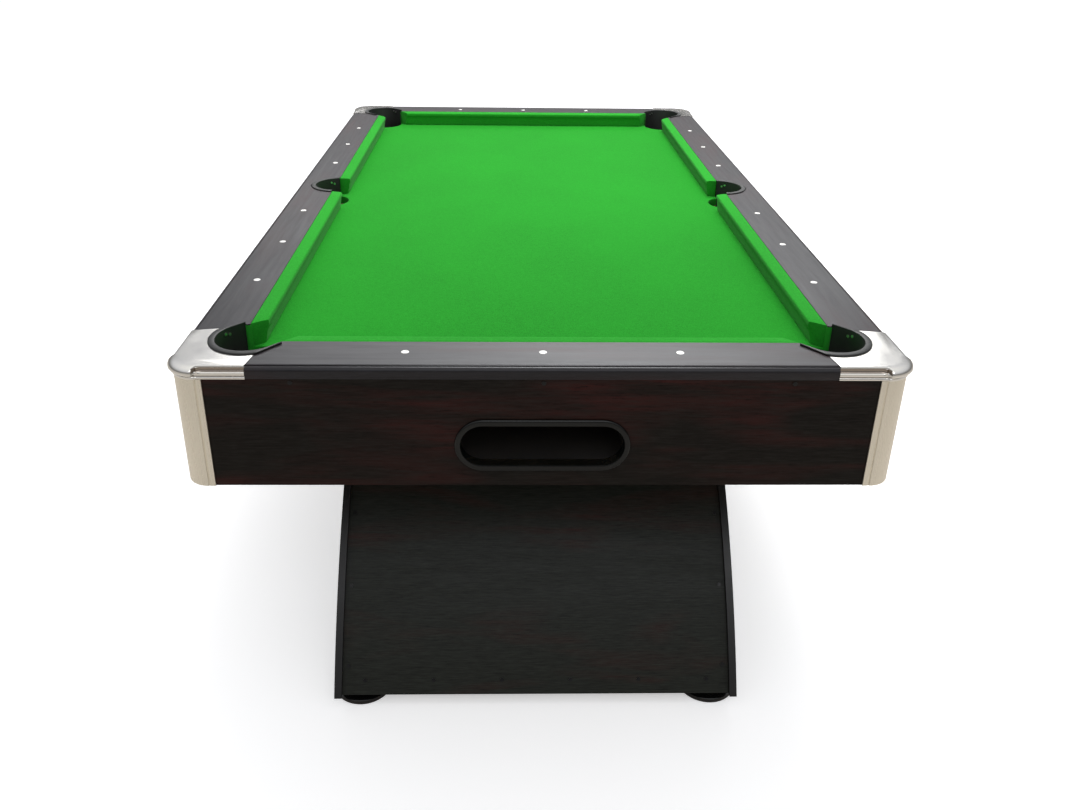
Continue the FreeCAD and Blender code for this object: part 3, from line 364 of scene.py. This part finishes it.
def piece(name, bm, material, replaced, body="table", sharp=SHARP_ANGLE):
    """Turns a bmesh into a piece of the model that stands for the CAD nodes it replaces."""
    bmesh.ops.recalc_face_normals(bm, faces=bm.faces)
    mesh = bpy.data.meshes.new(name)
    bm.to_mesh(mesh)
    bm.free()
    smooth(mesh, sharp)
    mesh.materials.append(MATERIALS[material])
    item = bpy.data.objects.new(name, mesh)
    bpy.context.scene.collection.objects.link(item)
    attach(item, body)
    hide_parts(*replaced)
    return item


def smooth(mesh, sharp):
    """Shades a mesh smoothly except over edges that turn by more than an angle in degrees."""
    for face in mesh.polygons:
        face.use_smooth = True
    mesh.set_sharp_from_angle(angle=math.radians(sharp))


def apply_modifiers(item, sharp=SHARP_ANGLE):
    """Replaces the mesh by its modified result, so that no modifier is left."""
    graph = bpy.context.evaluated_depsgraph_get()
    done = bpy.data.meshes.new_from_object(item.evaluated_get(graph))
    item.modifiers.clear()
    item.data = done
    smooth(done, sharp)


def carve(item, bm, sharp):
    """Cuts the closed form bm out of a piece."""
    bmesh.ops.recalc_face_normals(bm, faces=bm.faces)
    mesh = bpy.data.meshes.new("cutter")
    bm.to_mesh(mesh)
    bm.free()
    cutter = bpy.data.objects.new("cutter", mesh)
    bpy.context.scene.collection.objects.link(cutter)
    modifier = item.modifiers.new("cut", "BOOLEAN")
    modifier.object = cutter
    modifier.operation = "DIFFERENCE"
    modifier.solver = "EXACT"
    bpy.context.view_layer.update()
    apply_modifiers(item, sharp)
    bpy.data.objects.remove(cutter)
    bpy.data.meshes.remove(mesh)


def soften(item, width, angle):
    """Rounds the edges of a piece that turn by more than the angle in degrees."""
    modifier = item.modifiers.new("soften", "BEVEL")
    modifier.width = width
    modifier.segments = 3
    modifier.limit_method = "ANGLE"
    modifier.angle_limit = math.radians(angle)
    bpy.context.view_layer.update()
    apply_modifiers(item)


def lathe(bm, profile, centre, segments):
    """Turns a closed section of (radius, height) pairs about the upright line through a centre."""
    rows = []
    for step in range(segments):
        turn = math.tau * step / segments
        row = []
        for radius, height in profile:
            local = Vector((radius * math.cos(turn), radius * math.sin(turn), height))
            row.append(bm.verts.new(Vector(centre) + local))
        rows.append(row)
    close_ring(bm, rows)
    # points on the axis fall together, which leaves edges with no face
    bmesh.ops.remove_doubles(bm, verts=bm.verts, dist=1e-7)
    loose = [edge for edge in bm.edges if not edge.link_faces]
    bmesh.ops.delete(bm, geom=loose, context="EDGES")


def close_ring(bm, rows):
    """Joins closed sections that follow each other all the way round."""
    for first, second in zip(rows, rows[1:] + rows[:1]):
        for j in range(len(first)):
            k = (j + 1) % len(first)
            bm.faces.new((first[j], first[k], second[k], second[j]))


def ease(value):
    """Smooth step from 0 to 1, flat at both ends."""
    value = min(1.0, max(0.0, value))
    return value * value * (3 - 2 * value)


# ---------------------------------------------------------------- bed cloth

def cloth_outline():
    """Plan of the bed cloth as (x, y, outward x, outward y, tuck), counterclockwise.

    Tuck is 1 where the cloth is pulled down over the edge of the bed inside a pocket.
    """
    arc_start = math.asin((CLOTH_HALF_WIDTH - POCKET_X) / HOLE_RADIUS)
    quarter = []
    throat_x = NOSE_X + THROAT_SETBACK
    half_chord = math.sqrt(THROAT_RADIUS**2 - (throat_x - CLOTH_HALF_WIDTH)**2)
    throat_half = math.asin(half_chord / THROAT_RADIUS)
    for step in range(13):
        turn = math.pi - throat_half * step / 12
        point = (throat_x + THROAT_RADIUS * math.cos(turn), THROAT_RADIUS * math.sin(turn))
        quarter.append((*point, -math.cos(turn), -math.sin(turn), 1))
    start_y = quarter[-1][1]
    end_y = POCKET_Y - HOLE_RADIUS * math.cos(arc_start)
    for step in range(1, 24):
        quarter.append((CLOTH_HALF_WIDTH, start_y + (end_y - start_y) * step / 24, 1, 0, 0))
    arc_end = math.asin((CLOTH_HALF_LENGTH - POCKET_Y) / HOLE_RADIUS)
    first, last = 1.5 * math.pi + arc_start, math.pi - arc_end
    for step in range(29):
        turn = first + (last - first) * step / 28
        out_x, out_y = math.cos(turn), math.sin(turn)
        point = (POCKET_X + HOLE_RADIUS * out_x, POCKET_Y + HOLE_RADIUS * out_y)
        quarter.append((*point, -out_x, -out_y, 1))
    edge_x = quarter[-1][0]
    for step in range(1, 13):
        quarter.append((edge_x * (1 - step / 12), CLOTH_HALF_LENGTH, 0, 1, 0))
    mirrored = [(-x, y, -a, b, k) for x, y, a, b, k in reversed(quarter[1:-1])]
    half = quarter + mirrored
    lower = [(-x, -y, -a, -b, k) for x, y, a, b, k in half]
    return half + lower


def bed_cloth():
    """One stretched sheet on the bed, pulled down over the edge in each pocket."""
    outline = cloth_outline()
    thick = CLOTH_TOP - BED_TOP
    levels = [
        # (offset where free, offset where tucked, height, how far the tuck lowers it)
        (-6 * MM, -6 * MM, BED_TOP, 0),
        (-2 * MM, -0.9 * MM, BED_TOP, 0),
        (-1 * MM, 0.05 * MM, BED_TOP, 0.03),
        (-0.4 * MM, 0.05 * MM, BED_TOP, 0.6),
        (-0.2 * MM, 0.05 * MM, BED_TOP, 1),
        (0, thick * 0.9, BED_TOP + 0.1 * MM, 1),
        (0, thick, BED_TOP + 0.35 * MM, 0.6),
        (0, thick * 0.95, BED_TOP + 0.7 * MM, 0.06),
        (-0.2 * MM, thick * 0.5, CLOTH_TOP - 0.12 * MM, 0.012),
        (-0.9 * MM, -0.4 * MM, CLOTH_TOP, 0),
        (-6 * MM, -6 * MM, CLOTH_TOP, 0),
    ]
    rings = []
    for free, tucked, height, lowered in levels:
        ring = []
        for x, y, out_x, out_y, tuck in outline:
            offset = tucked if tuck else free
            z = height - tuck * lowered * CLOTH_DROP
            ring.append((x + out_x * offset, y + out_y * offset, z))
        rings.append(ring)
    bm = bmesh.new()
    loft(bm, rings)
    cloth = piece("bed_cloth_sheet", bm, "bed_felt", ["bed_cloth"], sharp=60)


# ---------------------------------------------------------------- cushions

def cushion_section():
    """Section of a cushion as (distance behind the nose, height), from the back's top corner."""
    depth = CUSHION_DEPTH
    nose = [(3.2, -1.62), (1.9, -1.95), (0.9, -2.7), (0.3, -3.9), (0.02, -5.6), (0, -8.0),
            (0.1, -10.6), (0.45, -12.2), (1.1, -13.4), (2.0, -14.9)]
    section = [
        (depth, RAIL_TOP - 1.1 * MM), (depth - 0.35 * MM, RAIL_TOP - 0.4 * MM),
        (depth - 1.1 * MM, RAIL_TOP), (20 * MM, RAIL_TOP - 0.25 * MM),
        (12 * MM, RAIL_TOP - 0.65 * MM), (7 * MM, RAIL_TOP - 1.05 * MM),
    ]
    section += [(behind * MM, RAIL_TOP + height * MM) for behind, height in nose]
    base = CLOTH_TOP + 0.3 * MM
    toe = 7 * MM
    start_in, start_z = section[-1]
    for share in (0.35, 0.7, 0.95):
        section.append((start_in + (toe - start_in) * share, start_z + (base - start_z) * share))
    section += [(toe + 1.2 * MM, base), (depth, base)]
    return section


def cushion(name, nose_ends, back_ends, place, turn, material, corners):
    """Cloth-covered rubber with its nose along local X and its ends cut at a slant.

    The ends are (low, high) along X at the nose and at the back. Each entry of corners is
    (x sign, y sign, along x) of a corner pocket and adds the facing beside its liner.
    """
    section = cushion_section()
    steps = max(2, round(abs(nose_ends[1] - nose_ends[0]) / (45 * MM)))
    move = Matrix.Translation((*place, 0)) @ Matrix.Rotation(math.radians(turn), 4, "Z")
    rings = []
    for step in range(steps + 1):
        share = step / steps
        ring = []
        for behind, height in section:
            low = nose_ends[0] + (back_ends[0] - nose_ends[0]) * behind / CUSHION_DEPTH
            high = nose_ends[1] + (back_ends[1] - nose_ends[1]) * behind / CUSHION_DEPTH
            ring.append(move @ Vector((low + (high - low) * share, -behind, height)))
        rings.append(ring)
    bm = bmesh.new()
    loft(bm, rings)
    for x_sign, y_sign, along_x in corners:
        add_facing(bm, x_sign, y_sign, along_x)
    item = piece(f"{name}_pad", bm, material, [name])
    soften(item, 1.6 * MM, angle=50)


# Plan of a facing's surface in mm, as (towards the table, across) from the corner pocket's
# centre, and its section as (depth behind that surface, height above the rail).
FACING = [
    (34.4, 50.6), (32.1, 52.3), (29.8, 53.8), (28.0, 55.3),
    (27.2, 57.0), (27.0, 58.6), (27.0, 60.4),
]
FACING_SECTION = [(1.1, -67), (0.05, -67), (0, -40), (0, -4), (0.4, -2.6), (1.1, -2.4)]


def add_facing(bm, x_sign, y_sign, along_x):
    """A thin cloth-covered strip on the wood and bed between a cushion's end and the liner."""
    rings = []
    diagonal = math.sqrt(0.5)
    for index, (towards, across) in enumerate(FACING):
        before = Vector(FACING[max(0, index - 1)])
        after = Vector(FACING[min(len(FACING) - 1, index + 1)])
        run = after - before
        behind = Vector((run.y, -run.x)).normalized()
        ring = []
        for depth, height in FACING_SECTION:
            x_part = towards + behind.x * depth
            y_part = across + behind.y * depth
            small = -(x_part + y_part) * diagonal * MM
            large = (y_part - x_part) * diagonal * MM
            dx, dy = (large, small) if along_x else (small, large)
            place = (x_sign * (POCKET_X + dx), y_sign * (POCKET_Y + dy))
            ring.append((*place, RAIL_TOP + height * MM))
        rings.append(ring)
    loft(bm, rings)


def cushions():
    """Two end cushions between the corner pockets, and two on each side of the table."""
    nose, back = NOSE_X - CORNER_MOUTH_NOSE, NOSE_X - CORNER_MOUTH_BACK
    for end, y_sign, turn in (("front", -1, 0), ("rear", 1, 180)):
        cushion(
            f"cushion_{end}", (-nose, nose), (-back, back), (0, y_sign * NOSE_Y), turn,
            "cushion_felt_x", [(-1, y_sign, False), (1, y_sign, False)])
    far_nose, far_back = NOSE_Y - CORNER_MOUTH_NOSE, NOSE_Y - CORNER_MOUTH_BACK
    for side, x_sign in SIDES.items():
        for end, y_sign in ENDS.items():
            along = x_sign * y_sign
            nose_ends = (along * SIDE_MOUTH_NOSE, along * far_nose)
            back_ends = (along * SIDE_MOUTH_BACK, along * far_back)
            cushion(
                f"cushion_{side}_{end}", nose_ends, back_ends, (x_sign * NOSE_X, 0), 90 * x_sign,
                "cushion_felt_y", [(x_sign, y_sign, True)])


# ---------------------------------------------------------------- corner caps and posts

# Section of a cap as (inset from the outside, height above the rail), top to bottom in mm: along
# its straight sides, with a hollow band, a round band, a groove and a lip, and at its round corner.
CAP_SIDE = [
    (10.5, 1.0), (7.4, 0.9), (6.2, 0.4), (5.6, -0.6), (5.5, -1.9), (6.0, -2.6), (7.2, -3.4),
    (8.0, -6.0), (7.6, -8.8), (6.3, -10.4), (4.5, -11.0), (3.3, -12.2), (2.9, -14.4),
    (3.2, -16.6), (4.2, -18.0), (5.7, -18.9), (4.5, -19.7), (3.6, -20.9), (3.4, -22.8),
    (3.9, -24.3), (5.4, -25.0),
]
CAP_CORNER = [
    (17.0, 1.0), (10.5, 0.75), (6.5, 0.1), (3.4, -0.9), (1.2, -2.1), (-0.4, -3.2), (-2.2, -4.9),
    (-3.6, -6.9), (-4.4, -8.7), (-4.85, -10.4), (-5.0, -12.0), (-4.8, -13.6), (-4.0, -15.2),
    (-2.4, -16.8), (-0.4, -17.9), (1.6, -18.7), (1.5, -19.5), (0.7, -20.4), (0.5, -22.4),
    (1.0, -24.2), (3.2, -25.0),
]
# The first levels are the top plate, which runs on over the wood by the flare, in a curve.
CAP_PLATE_LEVELS = 3
CAP_FLARE, CAP_FLARE_RUN = 7.0 * MM, 60 * MM
CAP_PLATE_SHARES = (0.92, 0.8, 0.7, 0.6, 0.5, 0.4, 0.3, 0.2, 0.12)
# Levels of the hollow band and the groove, where a duller, browner colour paints reflection and
# shade.
CAP_REFLECTION_AND_SHADE = (5, 6, 7, 8, 14, 15)
# The side turns into the corner over a short length, with a knuckle just before it.
BLEND_LEAD, BLEND_LENGTH = 3 * MM, 7 * MM
KNUCKLE_BACK, KNUCKLE_WIDTH = 4.5 * MM, 2.4 * MM
KNUCKLE_SWELL, KNUCKLE_LEVELS = 3.4, range(5, 11)
# Stations along a straight side, as shares of its length from the corner.
CAP_SIDE_STATIONS = (1.0, 0.6, 0.3, 0.15, 0.1, 0.07, 0.05, 0.035, 0.02, 0.01)


def cap_stations():
    """Points along the outside of a cap as (x, y, outward x, outward y, roundness, knuckle)."""
    stations = []
    radius = CAP_RADIUS

    def mixture(distance):
        knuckle = math.exp(-((distance + KNUCKLE_BACK) / KNUCKLE_WIDTH)**2)
        return ease((distance + BLEND_LEAD) / BLEND_LENGTH), knuckle

    out_x, out_y = CAP_X - CAP_BULGE, CAP_Y - CAP_BULGE
    for share in CAP_SIDE_STATIONS:
        distance = -share * (out_x - radius - CAP_IN_X)
        stations.append((out_x - radius + distance, out_y, 0, 1, *mixture(distance)))
    for step in range(33):
        turn = math.pi / 2 * (1 - step / 32)
        arc = min(step, 32 - step) / 32 * radius * math.pi / 2
        along_x, along_y = math.cos(turn), math.sin(turn)
        point = (out_x - radius + radius * along_x, out_y - radius + radius * along_y)
        stations.append((*point, along_x, along_y, *mixture(arc)))
    for share in reversed(CAP_SIDE_STATIONS):
        distance = -share * (out_y - radius - CAP_IN_Y)
        stations.append((out_x, out_y - radius + distance, 1, 0, *mixture(distance)))
    return stations


def pocket_cutter(x_sign, y_sign):
    """An upright form of the pocket hole and its mouth towards the table."""
    radius = HOLE_RADIUS
    inward = math.atan2(-y_sign, -x_sign)
    near, far = 30 * MM, 60 * MM
    plan = [(near, -radius), (far, -radius), (far, radius), (near, radius)]
    for degrees in range(90, 271, 5):
        turn = math.radians(degrees)
        plan.append((radius * math.cos(turn), radius * math.sin(turn)))
    centre = Vector((x_sign * POCKET_X, y_sign * POCKET_Y, 0))
    spin = Matrix.Rotation(inward, 3, "Z")
    below, above = 0.7, 0.9
    rings = [
        [centre + spin @ Vector((x, y, 0)) + Vector((0, 0, z)) for x, y in plan]
        for z in (below, above)
    ]
    bm = bmesh.new()
    loft(bm, rings)
    return bm


def cap_ring(index, stations, x_sign, y_sign):
    """One level of a cap: along its outside, then back along its inner edges."""
    side, corner = CAP_SIDE[index], CAP_CORNER[index]
    ring = []
    for x, y, out_x, out_y, roundness, knuckle in stations:
        inset = side[0] + (corner[0] - side[0]) * roundness
        if index in KNUCKLE_LEVELS:
            rise = index - KNUCKLE_LEVELS.start + 1
            inset -= KNUCKLE_SWELL * knuckle * math.sin(math.pi * rise / (len(KNUCKLE_LEVELS) + 1))
        height = RAIL_TOP + (side[1] + (corner[1] - side[1]) * roundness) * MM
        place = (x_sign * (x - out_x * inset * MM), y_sign * (y - out_y * inset * MM))
        ring.append((*place, height))
    flare = CAP_FLARE if index < CAP_PLATE_LEVELS else 0.0
    height = RAIL_TOP + side[1] * MM
    depth_y, depth_x = CAP_Y - CAP_BULGE - CAP_IN_Y, CAP_X - CAP_BULGE - CAP_IN_X
    for share in CAP_PLATE_SHARES:
        run = flare * ease((1 - share) * depth_x / CAP_FLARE_RUN)
        ring.append((x_sign * (CAP_IN_X + share * depth_x), y_sign * (CAP_IN_Y - run), height))
    ring.append((x_sign * (CAP_IN_X - flare), y_sign * (CAP_IN_Y - flare), height))
    for share in reversed(CAP_PLATE_SHARES):
        run = flare * ease((1 - share) * depth_y / CAP_FLARE_RUN)
        ring.append((x_sign * (CAP_IN_X - run), y_sign * (CAP_IN_Y + share * depth_y), height))
    return ring


def corner_cap(name, x_sign, y_sign):
    """A plated casting over the corner: its two bands darker and browner as painted reflection and
    shade, the pocket cut out of it.
    """
    stations = cap_stations()
    rings = [cap_ring(index, stations, x_sign, y_sign) for index in range(len(CAP_SIDE))]
    bm = bmesh.new()
    loft(bm, rings)
    bm.faces.ensure_lookup_table()
    # Along the straight sides the hollow band and the groove get the painted reflection and shade.
    for level in CAP_REFLECTION_AND_SHADE:
        for spot, (_, _, _, _, roundness, _) in enumerate(stations[:-1]):
            if roundness < 0.5:
                bm.faces[level * len(rings[0]) + spot].material_index = 1
    cap = piece(f"cap_{name}", bm, "cap", [f"corner_cap_{name}"])
    cap.data.materials.append(MATERIALS["cap_painted_shade_and_reflection"])
    carve(cap, pocket_cutter(x_sign, y_sign), sharp=32)


# Sizes of a post in mm, and its plan from the beaded edge to the round as (x, y) from its corner.
POST_RADIUS, POST_WALL, POST_FLANGE = 45.0, 3.0, 58.0
POST_SIDE = [
    (-POST_FLANGE + 0.3, -POST_WALL), (-POST_FLANGE, -2.2), (-POST_FLANGE, -0.9),
    (-POST_FLANGE + 0.4, -0.25), (-POST_FLANGE + 1.2, 0), (-POST_FLANGE + 2.0, -0.15),
    (-POST_FLANGE + 2.6, -0.6), (-POST_FLANGE + 3.4, -0.62), (-POST_FLANGE + 4.0, -0.5),
    (-POST_RADIUS - 3.6, -0.35), (-POST_RADIUS - 2.6, -0.75), (-POST_RADIUS - 1.8, -1.5),
    (-POST_RADIUS - 1.2, -1.5), (-POST_RADIUS - 0.6, -0.6),
]


def post_arc(radius, steps):
    """A quarter round about the post's centre, from the X side to the Y side."""
    turns = [math.pi / 2 * step / steps for step in range(steps + 1)]
    return [
        (-POST_RADIUS + radius * math.cos(turn), -POST_RADIUS + radius * math.sin(turn))
        for turn in turns
    ]


def corner_post(name, x_sign, y_sign):
    """A bent aluminium cover: beaded edges, flat flanges and a crease on each side of the round."""
    low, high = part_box(f"corner_post_{name}")
    outside = post_arc(POST_RADIUS, 30)[::-1]
    inside = post_arc(POST_RADIUS - POST_WALL, 20)
    outline = POST_SIDE + outside + [(y, x) for x, y in reversed(POST_SIDE)] + inside
    rings = [
        [(x_sign * (POST_X + x * MM), y_sign * (POST_Y + y * MM), z) for x, y in outline]
        for z in (low.z, high.z)
    ]
    bm = bmesh.new()
    loft(bm, rings)
    piece(f"post_{name}", bm, "post", [f"corner_post_{name}"], sharp=40)


# ---------------------------------------------------------------- pocket liners

def liner(name, stations, seat):
    """A moulded liner: stations are (inner point, outer point) pairs along its flange."""
    rings = []
    top, bottom = seat + 3 * MM, RAIL_TOP - LINER_DEPTH
    for inner, outer in stations:
        across = outer - inner
        width = across.length
        out = across.normalized()
        wall = min(2.2 * MM, width * 0.8)
        edge = min(1.5 * MM, width * 0.3)
        section = [
            (0, bottom), (0, top - 1.8 * MM), (edge * 0.12, top - 0.9 * MM),
            (edge * 0.5, top - 0.25 * MM), (edge, top), (width * 0.5, top),
            (width - edge, top - 0.1 * MM), (width - edge * 0.4, top - 0.5 * MM),
            (width - edge * 0.08, top - 1.2 * MM), (width, top - 2.1 * MM),
            (width, seat), (wall, seat), (wall, bottom),
        ]
        rings.append([(*(inner + out * offset), height) for offset, height in section])
    bm = bmesh.new()
    loft(bm, rings)
    piece(f"liner_{name}", bm, "liner", [f"pocket_liner_{name}"])


def corner_liner(name, x_sign, y_sign):
    """A horseshoe whose flange narrows into a pointed horn on each side of the mouth.

    It is laid out about the pocket's centre with +X towards the middle of the table.
    """
    horn = 25 * MM
    root_y = math.sqrt(LINER_RIM**2 - horn**2)
    tip_x, tip_y = 28 * MM, POCKET_RADIUS + 1.6 * MM
    slope = (tip_y - root_y) / (tip_x + horn)
    stations = []
    for step in range(9):
        x = tip_x * (1 - step / 8)
        stations.append((Vector((x, POCKET_RADIUS)), Vector((x, tip_y - slope * (tip_x - x)))))
    for degrees in range(93, 181, 3):
        turn = math.radians(degrees)
        ray = Vector((math.cos(turn), math.sin(turn)))
        reach = LINER_RIM
        if LINER_RIM * ray.x > -horn:
            reach = (tip_y - slope * tip_x) / (ray.y - slope * ray.x)
        stations.append((ray * POCKET_RADIUS, ray * reach))
    stations += [
        (Vector((inner.x, -inner.y)), Vector((outer.x, -outer.y)))
        for inner, outer in reversed(stations[:-1])
    ]
    spin = Matrix.Rotation(math.atan2(-y_sign, -x_sign), 2)
    centre = Vector((x_sign * POCKET_X, y_sign * POCKET_Y))
    placed = [(centre + spin @ inner, centre + spin @ outer) for inner, outer in stations]
    liner(name, placed, RAIL_TOP + 1 * MM)


def side_liner(name, x_sign):
    """An arc open towards the table, cut off square at both ends."""
    back = 6 * MM
    steps = 48
    centre = Vector((x_sign * SIDE_POCKET_X, 0))
    stations = []
    for step in range(steps + 1):
        points = []
        for radius in (POCKET_RADIUS, LINER_RIM):
            turn = math.acos(back / radius) * (1 - 2 * (step / steps))
            local = Vector((x_sign * radius * math.cos(turn), radius * math.sin(turn)))
            points.append(centre + local)
        stations.append(tuple(points))
    liner(f"middle_{name}", stations, RAIL_TOP)


# ---------------------------------------------------------------- ball window, feet and sights

def bezel():
    """The surround of the ball window: a rounded flange on the apron and a sleeve through it."""
    low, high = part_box("return_bezel")
    middle = (low.z + high.z) / 2
    inner = stadium(WINDOW_WIDTH, WINDOW_HEIGHT)
    outer = stadium(high.x - low.x, high.z - low.z)
    # (share of the way from the opening to the outer edge, place along Y)
    section = [
        (0.0, high.y), (0.0, low.y + 1.7 * MM), (0.05, low.y + 0.7 * MM),
        (0.16, low.y + 0.1 * MM), (0.3, low.y), (0.62, low.y + 0.05 * MM),
        (0.82, low.y + 0.5 * MM), (0.94, low.y + 1.3 * MM), (1.0, low.y + 2.6 * MM),
        (1.0, low.y + 5 * MM), (0.26, low.y + 5 * MM), (0.26, high.y),
    ]
    bm = bmesh.new()
    rows = []
    for (inner_x, inner_z), (outer_x, outer_z) in zip(inner, outer):
        row = []
        for share, depth in section:
            x = inner_x + (outer_x - inner_x) * share
            z = inner_z + (outer_z - inner_z) * share
            row.append(bm.verts.new((x, depth, middle + z)))
        rows.append(row)
    close_ring(bm, rows)
    piece("ball_window_surround", bm, "surround", ["return_bezel"])


def stadium(width, height):
    """Points around an upright slot with round ends, equally many for every size."""
    flat, radius = (width - height) / 2, height / 2
    points = []
    for sign in (1, -1):
        for step in range(25):
            turn = math.pi * step / 24 - math.pi / 2
            x, z = flat + radius * math.cos(turn), radius * math.sin(turn)
            points.append((sign * x, sign * z))
    return points


def feet():
    """Four turned discs that flare down from the stem's bore, sections in mm."""
    bore = 8.05
    for name in CORNERS:
        low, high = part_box(f"foot_pad_{name}")
        centre = (low + high) / 2
        top = high.z / MM
        reach = (high.x - low.x) / 2 / MM
        profile = [
            (bore, 8), (bore, 0.5), (9, 0), (reach - 4.5, 0), (reach - 1, 0.8), (reach, 2.8),
            (reach, 8.4), (reach - 0.6, 10.2), (reach - 2.2, 11.3), (reach - 6, 12.2), (42, 15.6),
            (30, 19.6), (21.5, 24.2), (18.4, 27), (17.4, 29), (16.4, top), (bore, top),
        ]
        section = [(radius * MM, height * MM) for radius, height in profile]
        bm = bmesh.new()
        lathe(bm, section, (centre.x, centre.y, 0), 96)
        piece(f"foot_{name}_disc", bm, "gloss", [f"foot_pad_{name}"], f"foot_{name}")


def sights():
    """Eighteen round inlays with a fine bevelled rim."""
    row_x, row_y = NOSE_X + SIGHT_SETBACK, NOSE_Y + SIGHT_SETBACK
    spots = [(step * SIGHT_PITCH, sign * row_y) for step in (-1, 0, 1) for sign in (-1, 1)]
    spots += [
        (sign * row_x, step * SIGHT_PITCH) for step in (-3, -2, -1, 1, 2, 3) for sign in (-1, 1)
    ]
    profile = [
        (0, 0), (7, 0), (7, 0.25), (6.7, 0.48), (6.2, 0.5), (6.0, 0.36), (5.7, 0.36), (5.4, 0.52),
        (2.7, 0.6), (0, 0.6),
    ]
    section = [(radius * MM, height * MM) for radius, height in profile]
    bm = bmesh.new()
    for x, y in spots:
        lathe(bm, section, (x, y, RAIL_TOP), 32)
    piece("sight_inlays", bm, "sight", ["sights"])


# ---------------------------------------------------------------- stage, light and camera

def stage():
    """A wide pale floor: lit up where the camera sees it, duller in mirror reflections."""
    mesh = bpy.data.meshes.new("floor")
    reach = 40.0
    outline = [(-reach, -reach, 0), (reach, -reach, 0), (reach, reach, 0), (-reach, reach, 0)]
    mesh.from_pydata(outline, [], [(0, 1, 2, 3)])
    floor = bpy.data.objects.new("floor", mesh)
    bpy.context.scene.collection.objects.link(floor)
    shade = Shader("pale_floor", Roughness=0.7)
    rays = shade.tree.nodes.new("ShaderNodeLightPath")
    tone = shade.mix(rays.outputs["Is Glossy Ray"], (0.93, 0.93, 0.93), (0.56, 0.52, 0.47))
    lift = shade.math("MULTIPLY", rays.outputs["Is Camera Ray"], 0.42)
    mesh.materials.append(shade.finish(
        Specular_IOR_Level=0.2, Base_Color=tone,
        Emission_Color=(1.0, 1.0, 1.0), Emission_Strength=lift))


def world():
    """Studio surround: bright overhead, darker down to the horizon, and white to the camera."""
    surround = bpy.data.worlds.new("studio")
    bpy.context.scene.world = surround
    surround.use_nodes = True
    tree = surround.node_tree
    coordinate = tree.nodes.new("ShaderNodeTexCoord")
    split = tree.nodes.new("ShaderNodeSeparateXYZ")
    ramp = tree.nodes.new("ShaderNodeValToRGB")
    rays = tree.nodes.new("ShaderNodeLightPath")
    choice = tree.nodes.new("ShaderNodeMix")
    choice.data_type = "RGBA"
    tree.links.new(coordinate.outputs["Generated"], split.inputs[0])
    tree.links.new(split.outputs["Z"], ramp.inputs["Fac"])
    horizon, low, high, overhead = (0.16, 0.155, 0.15), 0.20, (0.62, 0.63, 0.67), 0.9
    fill_ramp(ramp, [(0.0, horizon), (0.2, low), (0.5, high), (1.0, overhead)])
    tree.links.new(rays.outputs["Is Camera Ray"], choice.inputs[0])
    tree.links.new(ramp.outputs["Color"], choice.inputs[6])
    choice.inputs[7].default_value = (1, 1, 1, 1)
    tree.links.new(choice.outputs[2], tree.nodes["Background"].inputs["Color"])


def softbox(name, place, target, size, power):
    """A rectangular area light at a place, turned towards a target."""
    light = bpy.data.lights.new(name, "AREA")
    light.shape = "RECTANGLE"
    light.size, light.size_y = size
    light.energy = power
    item = bpy.data.objects.new(name, light)
    item.location = place
    item.rotation_euler = (Vector(target) - Vector(place)).to_track_quat("-Z", "Y").to_euler()
    bpy.context.scene.collection.objects.link(item)


def camera():
    """The view from just above the front end, looking down along the table."""
    pitch, yaw, roll = math.radians(24.29), math.radians(-1.40), math.radians(0.78)
    turn = Matrix.Rotation(yaw, 3, "Z")
    ahead = turn @ Vector((0, math.cos(pitch), -math.sin(pitch)))
    up = turn @ Vector((0, math.sin(pitch), math.cos(pitch)))
    right = turn @ Vector((1, 0, 0))
    right, up = (
        math.cos(roll) * right + math.sin(roll) * up,
        math.cos(roll) * up - math.sin(roll) * right,
    )
    data = bpy.data.cameras.new("camera")
    data.sensor_width = 36.0
    data.lens = 30.92
    data.shift_x = 0.0131
    data.shift_y = -0.0732
    data.clip_end = 200.0
    item = bpy.data.objects.new("camera", data)
    facing = Matrix((right, up, -ahead)).transposed().to_4x4()
    item.matrix_world = Matrix.Translation((-0.067, -2.538, 1.514)) @ facing
    bpy.context.scene.collection.objects.link(item)
    bpy.context.scene.camera = item


# ---------------------------------------------------------------- making

dress_cad_nodes()
stage()
world()
softbox("overhead", (0.25, 0.6, 2.7), target=(0, 0.3, 0.8), size=(1.3, 1.7), power=66)
softbox("behind", (0.4, 6.0, 4.4), target=(0, 0, 0.8), size=(6.5, 2.6), power=125)
softbox("front_fill", (0.6, -5.2, 4.6), target=(0, -0.8, 0.6), size=(3.4, 2.4), power=38)
camera()
bpy.context.scene.view_settings.view_transform = "Standard"

bed_cloth()
cushions()
for corner_name, corner_signs in CORNERS.items():
    corner_cap(corner_name, *corner_signs)
    corner_post(corner_name, *corner_signs)
    corner_liner(corner_name, *corner_signs)
for side_name, side_sign in SIDES.items():
    side_liner(side_name, side_sign)
bezel()
feet()
sights()
